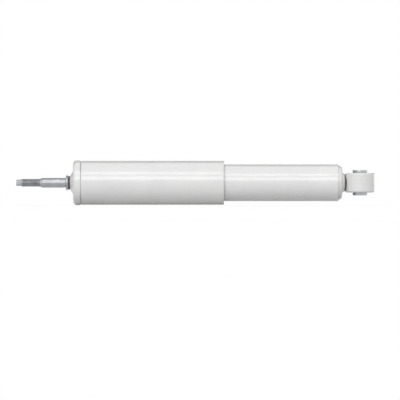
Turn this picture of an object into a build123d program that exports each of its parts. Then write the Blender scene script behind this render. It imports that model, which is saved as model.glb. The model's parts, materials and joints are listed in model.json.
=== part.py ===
from build123d import *
import math
import os

# Twin-tube hydraulic shock absorber with a threaded stud at one end and a rubber-bushed eye at the other.
# Millimetres. X runs along the damper, with the stud at -X. The origin is the centre of the eye,
# and the eye's bore runs along Z. A position named ..._x is measured along X from the eye's centre.

# Fits and gaps
touch_gap = 0.02          # between pieces that bear on each other and stay together
running_gap = 0.05        # radial, rod in its guide and lips, plates on their hubs, sleeve in its bush
ring_gap = 0.03           # radial, piston ring in the pressure tube
ring_side_gap = 0.15      # along X, piston ring in its groove
spring_gap = 0.05         # between a spring and what it bears on
sharp_edge = 0.4          # edge break on turned pieces

# Length from the seat face under the stud to the eye's centre, as the damper is drawn
seat_to_eye = 360.6

# Stud: shank, thread and a tip with two spanner flats
shank_diameter = 11.8
shank_length = 28.7
shank_taper = 2.5
thread_diameter = 10.0
thread_length = 22.7
thread_lead = 1.6
tip_diameter = 7.5
tip_length = 5.7
tip_across_flats = 6.1
tip_edge = 0.5

# Seat collar and its weld
collar_diameter = 18.0
collar_thickness = 3.4
collar_round = 1.8
collar_hub_diameter = 14.0
collar_hub_height = 0.8
collar_weld_leg = 1.3
collar_land_diameter = 12.2

# Dust cap: a pressed cup with a raised, conical centre
cap_sheet = 1.8
cap_land_diameter = 13.8
cap_cone_diameter = 29.6
cap_cone_height = 4.65
cap_cone_round = 1.2
cap_diameter = 54.7
cap_corner_radius = 3.8
cap_depth = 8.95

# Dust tube: swaged down at the end that enters the cap's skirt
dust_tube_diameter = 53.6
dust_tube_wall = 1.2
dust_tube_length = 175.9
dust_neck_length = 5.0
dust_neck_taper = 1.2

# Reservoir tube: rolled in at the rod end to hold the seal
reservoir_diameter = 45.0
reservoir_wall = 1.75
reservoir_length = 271.4
reservoir_lip_diameter = 29.0
reservoir_lip_radius = 3.0

# Seal washer, rod seal and garter spring
washer_thickness = 2.0
washer_bore = 15.0
seal_thickness = 8.0
seal_throat = 14.6
seal_lip_reach = 2.2
seal_lip_diameter = 16.6
seal_lip_width = 1.2
seal_recess_diameter = 24.0
seal_recess_depth = 1.6
garter_thickness = 1.4

# Rod guide and its bush
guide_flange_thickness = 7.0
guide_spigot_length = 11.0
guide_recess_depth = 4.0
guide_slots = 4
guide_slot_width = 4.0
guide_slot_depth = 1.5
guide_round = 1.0
bush_wall = 1.4
bush_length = 12.0

# Pressure tube
bore_diameter = 30.0
pressure_tube_wall = 1.0

# Piston rod
rod_diameter = 12.5
rod_length = 221.1
spigot_diameter = 10.0
spigot_overhang = 1.5

# Rebound stop
stop_spacing = 30.5
stop_thickness = 3.0
stop_diameter = 18.4
stop_groove_width = 1.6
stop_groove_depth = 0.6
bumper_length = 8.0
bumper_diameter = 24.0
bumper_nose_diameter = 19.0
bumper_round = 1.0

# Piston, its ring and its two valves
stop_washer_thickness = 1.5
stop_washer_diameter = 19.0
piston_length = 11.0
piston_side_gap = 0.15
piston_hub_diameter = 13.0
piston_hub_height = 2.6
piston_ring_thickness = 1.2
piston_ring_width = 7.5
passage_count = 6
outer_passage_diameter = 3.0
outer_passage_circle = 22.6
inner_passage_diameter = 2.4
inner_passage_circle = 16.0
passage_recess_depth = 0.6
passage_recess_width = 2.0
plate_thickness = 0.8
plate_diameter = 26.4
plate_window_diameter = 1.8
spring_strip = 0.3
spring_notches = 6
spring_notch_diameter = 2.4
spring_rim_margin = 1.0     # narrow rim outside the hub it bears round
spring_rim_overhang = 1.5   # wide rim past the washer or head behind it
rebound_disc_thickness = 0.5
rebound_disc_diameter = 19.2
rebound_seat_thickness = 1.5
rebound_wire = 2.2
rebound_turns = 3.0
nut_sleeve_length = 14.0
nut_across_flats = 19.0
nut_thickness = 6.0
nut_flange_thickness = 1.5

# Bottom cap: a pressed cup that enters the reservoir tube, with a raised boss for the eye
end_sheet = 2.5
end_height = 4.55
end_corner_radius = 3.7
end_skirt_length = 9.0
boss_height = 3.15
boss_base_diameter = 25.8
boss_face_diameter = 20.8
boss_round = 1.0

# Foot valve
foot_ring_bore = 26.0
foot_ring_diameter = 34.0
foot_ring_height = 9.45
foot_slots = 4
foot_slot_width = 5.0
foot_slot_depth = 4.0
foot_flange_thickness = 4.0
foot_spigot_length = 6.0
foot_pin_diameter = 6.0
foot_collar_diameter = 9.0
foot_collar_height = 3.2
foot_head_diameter = 15.0
foot_head_thickness = 2.0
foot_outer_circle = 22.0
foot_inner_circle = 13.8
intake_plate_diameter = 26.0
foot_disc_thickness = 0.8
foot_disc_diameter = 17.2
foot_wire = 1.2
foot_turns = 2.5
foot_spring_setback = 0.5    # of the coil inside its nut's flange
foot_spring_length = 6.0
foot_nut_flange_diameter = 14.4
foot_nut_flange_thickness = 1.0
foot_nut_across_flats = 10.0
foot_nut_thickness = 3.6

# Eye: ring with a crowned and grooved bore, rubber bush and inner sleeve
eye_diameter = 36.0
eye_width = 24.0
eye_mouth_diameter = 28.4
eye_groove_diameter = 29.2
eye_groove_spacing = 17.0
eye_waist_diameter = 26.8
eye_edge = 2.2
eye_weld_thickness = 0.9
eye_weld_width = 14.0
eye_weld_height = 18.4
sleeve_diameter = 18.0
sleeve_bore = 12.2
sleeve_length = 31.0
sleeve_edge = 0.8
bush_setback = 0.6

# Places along X, worked out from the eye to the stud for what stays with the cylinder
boss_x = -eye_diameter / 2 - eye_weld_thickness
end_face_x = boss_x - boss_height
tube_end_x = end_face_x - end_height
tube_top_x = tube_end_x - reservoir_length
end_floor_x = end_face_x - end_sheet
foot_face_x = end_floor_x - foot_ring_height
foot_seat_x = foot_face_x - foot_flange_thickness
foot_top_x = foot_seat_x - foot_spigot_length
washer_x = tube_top_x + reservoir_wall
seal_x = washer_x + washer_thickness
guide_x = seal_x + seal_thickness
guide_seat_x = guide_x + guide_flange_thickness
guide_end_x = guide_seat_x + guide_spigot_length

# Places along X for what stays with the rod
seat_x = -seat_to_eye
stud_tip_x = seat_x - shank_length - shank_taper - thread_length - thread_lead - tip_length
collar_back_x = seat_x + collar_thickness
cap_land_x = collar_back_x + collar_hub_height
cap_face_x = cap_land_x + cap_cone_height
cap_edge_x = cap_face_x + cap_depth
dust_mouth_x = cap_edge_x + dust_tube_length
shoulder_x = cap_land_x + cap_sheet
piston_stop_x = shoulder_x + rod_length
stop_x = piston_stop_x - stop_spacing
bumper_x = stop_x - stop_thickness
piston_x = piston_stop_x + stop_washer_thickness + piston_hub_height
piston_end_x = piston_x + piston_length
nut_x = piston_end_x + nut_sleeve_length
nut_end_x = nut_x + nut_thickness

# Radii that several pieces share
rod_r = rod_diameter / 2
spigot_r = spigot_diameter / 2
shank_r = shank_diameter / 2
land_r = collar_land_diameter / 2
reservoir_r = reservoir_diameter / 2
reservoir_bore_r = reservoir_r - reservoir_wall
bore_r = bore_diameter / 2
piston_hub_r = piston_hub_diameter / 2
plate_bore_r = piston_hub_r + running_gap
dust_r = dust_tube_diameter / 2
cap_r = cap_diameter / 2
bush_r = rod_r + running_gap + bush_wall


def turned(*corners, axis=Axis.X):
    """Turns an outline of (place, radius) corners about an axis. A third value rounds the corner."""
    points = [(corner[0], corner[1]) for corner in corners]
    radii = [corner[2] if len(corner) > 2 else 0 for corner in corners]
    return revolve(make_face(FilletPolyline(*points, radius=radii, close=True)), axis)


def bar_x(radius, start, end, y=0, z=0):
    """Round bar along X."""
    return Pos((start + end) / 2, y, z) * Rot(0, 90, 0) * Cylinder(radius, end - start)


def circle_of_bars(count, circle_diameter, bar_diameter, start, end):
    """Evenly spaced round bars along X, for cutting passages."""
    step = 2 * math.pi / count
    reach = circle_diameter / 2
    return [
        bar_x(bar_diameter / 2, start, end, reach * math.cos(i * step), reach * math.sin(i * step))
        for i in range(count)
    ]


def hexagon_x(across_flats, start, end):
    """Hexagonal bar along X."""
    outline = RegularPolygon(across_flats / 2, 6, major_radius=False)
    return extrude(Plane.YZ.offset(start) * outline, end - start)


def coil(start, end, mean_radius, wire, turns):
    """Coil spring of round wire between two faces, with its ends spring_gap off them."""
    rise = end - start - wire - 2 * spring_gap
    first = start + spring_gap + wire / 2
    path = Helix(rise / turns, rise, mean_radius, center=(first, 0, 0), direction=(1, 0, 0))
    section = Plane(origin=path @ 0, z_dir=path % 0) * Circle(wire / 2)
    return sweep(section, path=path, is_frenet=True)


def dished_spring(narrow_x, wide_x, narrow_r, wide_r):
    """Dished ring spring with a notched rim, with its two edges spring_gap off what they bear on."""
    way = math.copysign(1, wide_x - narrow_x)
    inner = narrow_x + way * spring_gap
    outer = wide_x - way * spring_gap
    strip = way * spring_strip
    ring = turned((inner, narrow_r), (inner + strip, narrow_r), (outer, wide_r), (outer - strip, wide_r))
    low = min(narrow_x, wide_x)
    high = max(narrow_x, wide_x)
    return ring - circle_of_bars(spring_notches, 2 * wide_r, spring_notch_diameter, low, high)


def mitre(sheet, length, rise):
    """How far a sheet's inner corner steps in where a flat face meets a cone of that length and rise."""
    turn = math.pi / 2 - math.atan2(rise, length)
    return sheet * math.tan(turn / 2)


def piston_rod():
    lead_x = stud_tip_x + tip_length
    thread_x = lead_x + thread_lead
    taper_x = thread_x + thread_length
    shank_x = taper_x + shank_taper
    end_x = nut_end_x + spigot_overhang
    groove_r = rod_r - stop_groove_depth
    groove_x = stop_x - stop_thickness / 2 - stop_groove_width / 2
    groove_end_x = groove_x + stop_groove_width
    rod = turned(
        (stud_tip_x, 0),
        (stud_tip_x, tip_diameter / 2 - tip_edge),
        (stud_tip_x + tip_edge, tip_diameter / 2),
        (lead_x, tip_diameter / 2),
        (thread_x, thread_diameter / 2),
        (taper_x, thread_diameter / 2),
        (shank_x, shank_r),
        (seat_x, shank_r),
        (seat_x, land_r),
        (shoulder_x, land_r),
        (shoulder_x, rod_r),
        (groove_x, rod_r),
        (groove_x, groove_r),
        (groove_end_x, groove_r),
        (groove_end_x, rod_r),
        (piston_stop_x, rod_r, sharp_edge),
        (piston_stop_x, spigot_r),
        (end_x - tip_edge, spigot_r),
        (end_x, spigot_r - tip_edge),
        (end_x, 0),
    )
    for side in (-1, 1):
        flat = Box(tip_length, tip_diameter, 2 * tip_diameter)
        rod -= Pos(stud_tip_x + tip_length / 2, side * (tip_across_flats + tip_diameter) / 2, 0) * flat
    return rod


def seat_collar():
    bore = land_r + touch_gap
    return turned(
        (seat_x, bore),
        (seat_x, collar_diameter / 2, sharp_edge),
        (collar_back_x, collar_diameter / 2, collar_round),
        (collar_back_x, collar_hub_diameter / 2),
        (cap_land_x, collar_hub_diameter / 2),
        (cap_land_x, bore),
    )


def collar_weld():
    cone_slope = (cap_cone_diameter - cap_land_diameter) / 2 / cap_cone_height
    root_r = max(collar_hub_diameter, cap_land_diameter) / 2 + touch_gap
    start = collar_back_x + touch_gap
    toe = cap_land_x + collar_weld_leg
    toe_r = cap_land_diameter / 2 + cone_slope * collar_weld_leg + touch_gap
    return turned(
        (start, root_r),
        (start, root_r + collar_weld_leg / 2),
        (toe, toe_r),
        (cap_land_x, root_r),
    )


def dust_cap():
    cone_rise = (cap_cone_diameter - cap_land_diameter) / 2
    step = mitre(cap_sheet, cap_cone_height, cone_rise)
    inner_face_x = cap_face_x + cap_sheet
    skirt_r = cap_r - cap_sheet
    bore = land_r + touch_gap
    return turned(
        (cap_land_x, bore),
        (cap_land_x, cap_land_diameter / 2),
        (cap_face_x, cap_cone_diameter / 2, cap_cone_round),
        (cap_face_x, cap_r, cap_corner_radius),
        (cap_edge_x, cap_r),
        (cap_edge_x, skirt_r),
        (inner_face_x, skirt_r, cap_corner_radius - cap_sheet),
        (inner_face_x, cap_cone_diameter / 2 - step, cap_cone_round + cap_sheet),
        (shoulder_x, max(cap_land_diameter / 2 - step, bore + touch_gap)),
        (shoulder_x, bore),
    )


def dust_tube():
    neck_r = cap_r - cap_sheet - touch_gap
    neck_x = cap_edge_x - dust_neck_length
    full_x = cap_edge_x + dust_neck_taper
    wall = dust_tube_wall
    return turned(
        (neck_x, neck_r - wall),
        (neck_x, neck_r),
        (cap_edge_x, neck_r),
        (full_x, dust_r),
        (dust_mouth_x, dust_r, wall / 2),
        (dust_mouth_x, dust_r - wall),
        (full_x, dust_r - wall),
        (cap_edge_x, neck_r - wall),
    )


def rebound_stop_ring():
    groove_r = rod_r - stop_groove_depth + touch_gap
    middle = stop_x - stop_thickness / 2
    half_key = stop_groove_width / 2 - touch_gap
    bore = rod_r + touch_gap
    return turned(
        (bumper_x, bore),
        (bumper_x, stop_diameter / 2, sharp_edge),
        (stop_x, stop_diameter / 2, sharp_edge),
        (stop_x, bore),
        (middle + half_key, bore),
        (middle + half_key, groove_r),
        (middle - half_key, groove_r),
        (middle - half_key, bore),
    )


def rebound_bumper():
    nose_x = bumper_x - bumper_length
    bore = rod_r + touch_gap
    end = bumper_x - touch_gap
    return turned(
        (nose_x, bore),
        (nose_x, bumper_nose_diameter / 2, bumper_round),
        (nose_x + bumper_length / 2, bumper_diameter / 2, bumper_round),
        (end, bumper_diameter / 2, bumper_round),
        (end, bore),
    )


def valve_stop_washer():
    end = piston_stop_x + stop_washer_thickness
    bore = spigot_r + touch_gap
    outer = stop_washer_diameter / 2
    return turned((piston_stop_x, bore), (piston_stop_x, outer), (end, outer), (end, bore))


def check_spring():
    washer_back_x = piston_stop_x + stop_washer_thickness
    plate_x = piston_x - plate_thickness
    wide_r = stop_washer_diameter / 2 + spring_rim_overhang
    return dished_spring(washer_back_x, plate_x, plate_bore_r + spring_rim_margin, wide_r)


def piston():
    body_r = bore_r - piston_side_gap
    groove_r = bore_r - ring_gap - piston_ring_thickness - running_gap
    groove_half = piston_ring_width / 2 + ring_side_gap
    middle = (piston_x + piston_end_x) / 2
    bore = spigot_r + touch_gap
    body = turned(
        (piston_x - piston_hub_height, bore),
        (piston_x - piston_hub_height, piston_hub_r),
        (piston_x, piston_hub_r),
        (piston_x, body_r, sharp_edge),
        (middle - groove_half, body_r),
        (middle - groove_half, groove_r),
        (middle + groove_half, groove_r),
        (middle + groove_half, body_r),
        (piston_end_x, body_r, sharp_edge),
        (piston_end_x, bore),
    )
    for circle, hole in (
        (outer_passage_circle, outer_passage_diameter),
        (inner_passage_circle, inner_passage_diameter),
    ):
        body -= circle_of_bars(passage_count, circle, hole, piston_x, piston_end_x)
    inner = (inner_passage_circle - passage_recess_width) / 2
    outer = (inner_passage_circle + passage_recess_width) / 2
    for face_x in (piston_x, piston_end_x - passage_recess_depth):
        deep_x = face_x + passage_recess_depth
        body -= turned((face_x, inner), (face_x, outer), (deep_x, outer), (deep_x, inner))
    return body


def piston_ring():
    outer = bore_r - ring_gap
    middle = (piston_x + piston_end_x) / 2
    start = middle - piston_ring_width / 2
    end = middle + piston_ring_width / 2
    return turned((start, outer - piston_ring_thickness), (start, outer), (end, outer),
                  (end, outer - piston_ring_thickness))


def valve_plate(bore, diameter, thickness, face_x, way, window_circle):
    """Flat valve plate on a face at face_x, lying on the side that way (-1 or 1) points to."""
    back = face_x + way * thickness
    plate = turned((face_x, bore), (face_x, diameter / 2), (back, diameter / 2), (back, bore))
    if window_circle:
        low = min(face_x, back)
        plate -= circle_of_bars(passage_count, window_circle, plate_window_diameter, low, low + thickness)
    return plate


def piston_check_plate():
    return valve_plate(plate_bore_r, plate_diameter, plate_thickness, piston_x, -1, inner_passage_circle)


def rebound_valve_disc():
    return valve_plate(plate_bore_r, rebound_disc_diameter, rebound_disc_thickness, piston_end_x, 1, 0)


def rebound_spring_seat():
    start = piston_end_x + rebound_disc_thickness
    return valve_plate(plate_bore_r, rebound_disc_diameter, rebound_seat_thickness, start, 1, 0)


def rebound_spring():
    start = piston_end_x + rebound_disc_thickness + rebound_seat_thickness
    mean_r = piston_hub_r + running_gap + spring_gap + rebound_wire / 2
    return coil(start, nut_x, mean_r, rebound_wire, rebound_turns)


def piston_nut():
    bore = spigot_r + touch_gap
    flange_end_x = nut_x + nut_flange_thickness
    flange_r = nut_across_flats / 2
    sleeve = turned(
        (piston_end_x, bore),
        (piston_end_x, piston_hub_r),
        (nut_x, piston_hub_r),
        (nut_x, flange_r),
        (flange_end_x, flange_r),
        (flange_end_x, bore),
    )
    nut = hexagon_x(nut_across_flats, flange_end_x, nut_end_x)
    return sleeve + (nut - bar_x(bore, flange_end_x, nut_end_x))


def reservoir_tube():
    lip_r = reservoir_lip_diameter / 2
    return turned(
        (tube_top_x, lip_r),
        (tube_top_x, reservoir_r, reservoir_lip_radius),
        (tube_end_x, reservoir_r, sharp_edge),
        (tube_end_x, reservoir_bore_r),
        (washer_x, reservoir_bore_r, reservoir_lip_radius - reservoir_wall),
        (washer_x, lip_r),
    )


def seal_washer():
    edge = reservoir_lip_radius - reservoir_wall
    outer = reservoir_bore_r - touch_gap
    bore = washer_bore / 2
    return turned((washer_x, bore), (washer_x, outer, edge), (seal_x, outer), (seal_x, bore))


def rod_seal():
    lip_bore = rod_r + running_gap
    throat = seal_throat / 2
    recess_x = guide_x - seal_recess_depth
    lip_end_x = guide_x + seal_lip_reach
    return turned(
        (seal_x, lip_bore),
        (seal_x, reservoir_bore_r - touch_gap),
        (guide_x, reservoir_bore_r - touch_gap),
        (guide_x, seal_recess_diameter / 2),
        (recess_x, seal_recess_diameter / 2 - seal_recess_depth),
        (recess_x, seal_lip_diameter / 2),
        (lip_end_x, seal_lip_diameter / 2),
        (lip_end_x, throat),
        (lip_end_x - seal_lip_width, lip_bore),
        (recess_x - seal_lip_width, throat),
        (seal_x + 2 * seal_lip_width, throat),
        (seal_x + seal_lip_width, lip_bore),
    )


def seal_garter_spring():
    ring_r = (seal_lip_diameter + garter_thickness) / 2 + touch_gap
    lip_middle = guide_x + (seal_lip_reach - seal_recess_depth) / 2
    return Pos(lip_middle, 0, 0) * Rot(0, 90, 0) * Torus(ring_r, garter_thickness / 2)


def rod_guide():
    flange_r = reservoir_bore_r - touch_gap
    spigot = bore_r - touch_gap
    bush_end_x = guide_end_x - bush_length
    bore = rod_r + bush_wall / 2 + running_gap
    body = turned(
        (guide_x, seal_recess_diameter / 2),
        (guide_x, flange_r),
        (guide_seat_x, flange_r, guide_round),
        (guide_seat_x, spigot),
        (guide_end_x, spigot, guide_round),
        (guide_end_x, bush_r + touch_gap),
        (bush_end_x, bush_r + touch_gap),
        (bush_end_x, bore),
        (guide_x + guide_recess_depth, bore),
        (guide_x + guide_recess_depth, seal_recess_diameter / 2),
    )
    for i in range(guide_slots):
        slot = Box(guide_flange_thickness, guide_slot_width, 2 * guide_slot_depth)
        place = Pos((guide_x + guide_seat_x) / 2, 0, flange_r)
        body -= Rot(360 / guide_slots * i, 0, 0) * place * slot
    return body


def guide_bush():
    bore = rod_r + running_gap
    start = guide_end_x - bush_length + touch_gap
    return turned((start, bore), (start, bush_r), (guide_end_x, bush_r), (guide_end_x, bore))


def pressure_tube():
    outer = bore_r + pressure_tube_wall
    return turned(
        (guide_seat_x, bore_r),
        (guide_seat_x, outer),
        (foot_seat_x, outer),
        (foot_seat_x, bore_r),
    )


def bottom_cap():
    outer = reservoir_bore_r - touch_gap
    boss_rise = (boss_base_diameter - boss_face_diameter) / 2
    step = mitre(end_sheet, boss_height, boss_rise)
    skirt_x = tube_end_x - end_skirt_length
    inner_boss_x = boss_x - end_sheet
    return turned(
        (boss_x, 0),
        (boss_x, boss_face_diameter / 2, boss_round),
        (end_face_x, boss_base_diameter / 2),
        (end_face_x, outer, end_corner_radius),
        (skirt_x, outer),
        (skirt_x, outer - end_sheet),
        (end_floor_x, outer - end_sheet, end_corner_radius - end_sheet),
        (end_floor_x, boss_base_diameter / 2 - step),
        (inner_boss_x, boss_face_diameter / 2 - step),
        (inner_boss_x, 0),
    )


def foot_valve_body():
    ring_r = foot_ring_diameter / 2
    bore = foot_pin_diameter / 2 + touch_gap
    body = turned(
        (end_floor_x, foot_ring_bore / 2),
        (end_floor_x, ring_r),
        (foot_seat_x, ring_r),
        (foot_seat_x, bore_r - touch_gap),
        (foot_top_x, bore_r - touch_gap),
        (foot_top_x, bore),
        (foot_face_x, bore),
        (foot_face_x, foot_ring_bore / 2),
    )
    for i in range(foot_slots):
        slot = Box(foot_slot_depth, foot_slot_width, foot_ring_diameter)
        place = Pos(end_floor_x - foot_slot_depth / 2, 0, foot_ring_diameter / 2)
        body -= Rot(360 / foot_slots * i, 0, 0) * place * slot
    for circle, hole in (
        (foot_outer_circle, outer_passage_diameter),
        (foot_inner_circle, inner_passage_diameter),
    ):
        body -= circle_of_bars(passage_count, circle, hole, foot_top_x, foot_face_x)
    return body


def foot_valve_pin():
    head_x = foot_top_x - foot_collar_height
    nut_start_x = foot_face_x + foot_disc_thickness + foot_spring_length
    end_x = nut_start_x + foot_nut_flange_thickness + foot_nut_thickness
    pin_r = foot_pin_diameter / 2
    return turned(
        (head_x - foot_head_thickness, 0),
        (head_x - foot_head_thickness, foot_head_diameter / 2, sharp_edge),
        (head_x, foot_head_diameter / 2),
        (head_x, foot_collar_diameter / 2),
        (foot_top_x, foot_collar_diameter / 2),
        (foot_top_x, pin_r),
        (end_x, pin_r),
        (end_x, 0),
    )


def foot_intake_plate():
    bore = foot_collar_diameter / 2 + running_gap
    return valve_plate(bore, intake_plate_diameter, plate_thickness, foot_top_x, -1, foot_inner_circle)


def foot_intake_spring():
    head_x = foot_top_x - foot_collar_height
    narrow_r = foot_collar_diameter / 2 + spring_rim_margin
    wide_r = foot_head_diameter / 2 + spring_rim_overhang
    return dished_spring(head_x, foot_top_x - plate_thickness, narrow_r, wide_r)


def foot_compression_disc():
    bore = foot_pin_diameter / 2 + running_gap
    return valve_plate(bore, foot_disc_diameter, foot_disc_thickness, foot_face_x, 1, 0)


def foot_compression_spring():
    start = foot_face_x + foot_disc_thickness
    mean_r = (foot_nut_flange_diameter - foot_wire) / 2 - foot_spring_setback
    return coil(start, start + foot_spring_length, mean_r, foot_wire, foot_turns)


def foot_valve_nut():
    bore = foot_pin_diameter / 2 + touch_gap
    start = foot_face_x + foot_disc_thickness + foot_spring_length
    middle = start + foot_nut_flange_thickness
    end = middle + foot_nut_thickness
    flange = bar_x(foot_nut_flange_diameter / 2, start, middle)
    return flange + hexagon_x(foot_nut_across_flats, middle, end) - bar_x(bore, start, end)


def eye_bore_line(gap):
    """Outline of the ring's bore, gap inside it: narrow in the middle, with a groove near each mouth."""
    half = eye_width / 2
    reach = eye_groove_spacing / 2
    mouth = eye_mouth_diameter / 2 - gap
    groove = eye_groove_diameter / 2 - gap
    crown = ThreePointArc((groove, reach), (eye_waist_diameter / 2 - gap, 0), (groove, -reach))
    return Line((mouth, half), (groove, reach)) + crown + Line((groove, -reach), (mouth, -half))


def eye_ring():
    half = eye_width / 2
    mouth = eye_mouth_diameter / 2
    rim = eye_diameter / 2
    outline = FilletPolyline((mouth, -half), (rim, -half), (rim, half), (mouth, half), radius=eye_edge)
    return revolve(Plane.XZ * make_face(outline + eye_bore_line(0)), Axis.Z)


def rubber_bush():
    reach = eye_width / 2 - bush_setback
    bore = sleeve_diameter / 2 + running_gap
    blank = Cylinder(eye_diameter / 2, 2 * reach) - Cylinder(bore, 2 * reach)
    half = eye_width / 2
    mouth = eye_mouth_diameter / 2 - touch_gap
    sides = Polyline((mouth, half), (0, half), (0, -half), (mouth, -half))
    return blank & revolve(Plane.XZ * make_face(sides + eye_bore_line(touch_gap)), Axis.Z)


def inner_sleeve():
    half = sleeve_length / 2
    outer = sleeve_diameter / 2
    bore = sleeve_bore / 2
    profile = Polyline((bore, -half), (outer - sleeve_edge, -half), (outer, sleeve_edge - half),
                       (outer, half - sleeve_edge), (outer - sleeve_edge, half), (bore, half), close=True)
    return revolve(Plane.XZ * make_face(profile), Axis.Z)


def eye_weld():
    start = boss_x + touch_gap
    oval = Plane.YZ.offset(start) * Ellipse(eye_weld_width / 2, eye_weld_height / 2)
    return extrude(oval, -start) - Cylinder(eye_diameter / 2 + touch_gap, eye_diameter)


pieces = [
    piston_rod, seat_collar, collar_weld, dust_cap, dust_tube, rebound_stop_ring, rebound_bumper,
    valve_stop_washer, check_spring, piston, rebound_spring, piston_nut, piston_ring, piston_check_plate,
    rebound_valve_disc, rebound_spring_seat, reservoir_tube, pressure_tube, rod_guide, guide_bush,
    rod_seal, seal_garter_spring, seal_washer, bottom_cap, eye_weld, eye_ring, rubber_bush,
    foot_valve_body, foot_valve_pin, foot_valve_nut, foot_intake_spring, foot_compression_spring,
    foot_intake_plate, foot_compression_disc, inner_sleeve,
]

os.makedirs("parts", exist_ok=True)
for piece in pieces:
    export_step(piece(), "parts/" + piece.__name__ + ".step")

foot_head_x = foot_top_x - foot_collar_height - foot_head_thickness
print("free travel in compression, piston to foot valve", foot_head_x - nut_end_x - spigot_overhang)
print("free travel in compression, cap to reservoir", tube_top_x - cap_face_x - cap_sheet)
print("free travel in rebound", bumper_x - bumper_length - guide_end_x)
print("stud tip", stud_tip_x)
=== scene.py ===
# %% [markdown]
# # Dressing a shock absorber
# A twin-tube damper is mostly turned, drawn and pressed steel: a threaded stud on a ground rod, a pressed
# cap with a thin dust tube, a thicker steel tube full of oil, and a welded ring with a rubber bush. The
# solids, their sizes and their joints come from the frame. This lesson gives each part that shows its real
# surface: fine edges, a true thread, rippled welds, moulded rubber, and paint and plating that look used.

# %% The frame
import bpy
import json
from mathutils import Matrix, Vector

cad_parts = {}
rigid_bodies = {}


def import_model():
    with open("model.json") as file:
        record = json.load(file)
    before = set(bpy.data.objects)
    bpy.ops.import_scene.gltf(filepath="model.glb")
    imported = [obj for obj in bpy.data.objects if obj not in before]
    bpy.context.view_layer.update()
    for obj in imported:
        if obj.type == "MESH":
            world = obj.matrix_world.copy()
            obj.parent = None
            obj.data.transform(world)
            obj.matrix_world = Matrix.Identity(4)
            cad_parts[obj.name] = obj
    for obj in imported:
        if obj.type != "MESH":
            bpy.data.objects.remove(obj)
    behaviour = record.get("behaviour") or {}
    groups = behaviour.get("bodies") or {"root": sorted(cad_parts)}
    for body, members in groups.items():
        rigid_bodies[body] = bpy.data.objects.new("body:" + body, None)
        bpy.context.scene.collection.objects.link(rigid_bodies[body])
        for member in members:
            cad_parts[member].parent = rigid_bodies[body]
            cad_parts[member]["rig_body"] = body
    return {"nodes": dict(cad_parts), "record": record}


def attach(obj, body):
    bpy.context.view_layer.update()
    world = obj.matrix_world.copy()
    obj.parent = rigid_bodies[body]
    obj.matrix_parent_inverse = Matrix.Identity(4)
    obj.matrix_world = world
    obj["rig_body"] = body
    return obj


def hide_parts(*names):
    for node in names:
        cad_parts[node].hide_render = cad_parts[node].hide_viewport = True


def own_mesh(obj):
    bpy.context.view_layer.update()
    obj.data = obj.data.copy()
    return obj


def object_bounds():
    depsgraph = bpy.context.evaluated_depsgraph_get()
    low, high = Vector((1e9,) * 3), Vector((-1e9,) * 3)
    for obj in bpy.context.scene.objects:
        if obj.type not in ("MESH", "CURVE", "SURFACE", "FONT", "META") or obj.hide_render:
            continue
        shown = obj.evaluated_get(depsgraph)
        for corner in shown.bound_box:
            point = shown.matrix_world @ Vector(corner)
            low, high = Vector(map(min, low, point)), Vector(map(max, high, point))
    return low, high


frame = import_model()
cad_low, cad_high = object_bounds()

# %% Tools used below
import json
import math

import bmesh
import bpy
import numpy as np
from mathutils import Vector

MM = 0.001                  # a millimetre, in the metres of the frame
scene = bpy.context.scene
print("Blender", bpy.app.version_string, "scene", scene.name)

# %% [markdown]
# ## Reading sizes from the solids
# A turned part is known by four numbers: where it starts and ends along its axis, and its inner and outer
# radius. They could be written here again, but such a copy goes wrong as soon as a solid changes. So they
# are read from the solid's own vertices.


# %% Measure a turned solid
def points_of(name):
    """All vertices of a solid, a row for each."""
    return np.array([vertex.co for vertex in frame["nodes"][name].data.vertices])


def turned_size(name, axis=0):
    """Start, end, inner radius and outer radius of a solid about X (axis 0) or Z (axis 2), in metres."""
    points = points_of(name)
    along = points[:, axis]
    across = np.delete(points, axis, axis=1)
    radius = np.hypot(across[:, 0], across[:, 1])
    return along.min(), along.max(), radius.min(), radius.max()


for name in ("dust_tube", "reservoir_tube", "dust_cap", "bottom_cap", "seat_collar"):
    print(name, [round(value / MM, 2) for value in turned_size(name)])

# %% [markdown]
# ## A lathe
# Most of the parts were turned on a lathe or pressed round. Blender's Screw modifier turns an outline too,
# but it can't tell a finish where paint wears. So a helper in mesh code turns a short list of corners, each
# with its own rounding, and keeps three attributes on the mesh: how near a point is to an outer edge, where
# paint wears first, to an inner corner, where dirt stays, and to a seam with the next part, where a fine
# dark line of painted shade stands for the gap between them, with a little dirt. A trial bar shows what each
# step makes.

# %% Round the corners of an outline
ON_AXIS = 1e-7              # a point nearer to the axis than this lies on it


def rounding_of(corner):
    """The rounding of a (place, radius, rounding) corner, which is 0 where none is given."""
    return corner[2] if len(corner) > 2 else 0


def rounded(corners, arc_steps):
    """Points of a closed outline, with an arc of so many steps at each rounded corner."""
    points = []
    for i, corner in enumerate(corners):
        here = Vector(corner[:2])
        rounding = rounding_of(corner)
        if rounding <= 0:
            points.append(here)
            continue
        back = Vector(corners[i - 1][:2]) - here
        ahead = Vector(corners[(i + 1) % len(corners)][:2]) - here
        half = back.angle(ahead) / 2
        reach = rounding / math.tan(half)
        middle = here + (back.normalized() + ahead.normalized()).normalized() * (rounding / math.sin(half))
        first = here + back.normalized() * reach - middle
        last = here + ahead.normalized() * reach - middle
        for step in range(arc_steps + 1):
            share = step / arc_steps
            way = first * (1 - share) + last * share
            points.append(middle + way.normalized() * rounding)
    return points


def divided(points, longest_run):
    """The outline with points added, so that no run is longer than this, but for one along the axis."""
    finer = []
    for i, point in enumerate(points):
        ahead = points[(i + 1) % len(points)]
        on_axis = point.y < ON_AXIS and ahead.y < ON_AXIS
        pieces = 1 if on_axis else max(1, math.ceil((ahead - point).length / longest_run))
        finer += [point.lerp(ahead, step / pieces) for step in range(pieces)]
    return finer


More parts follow.
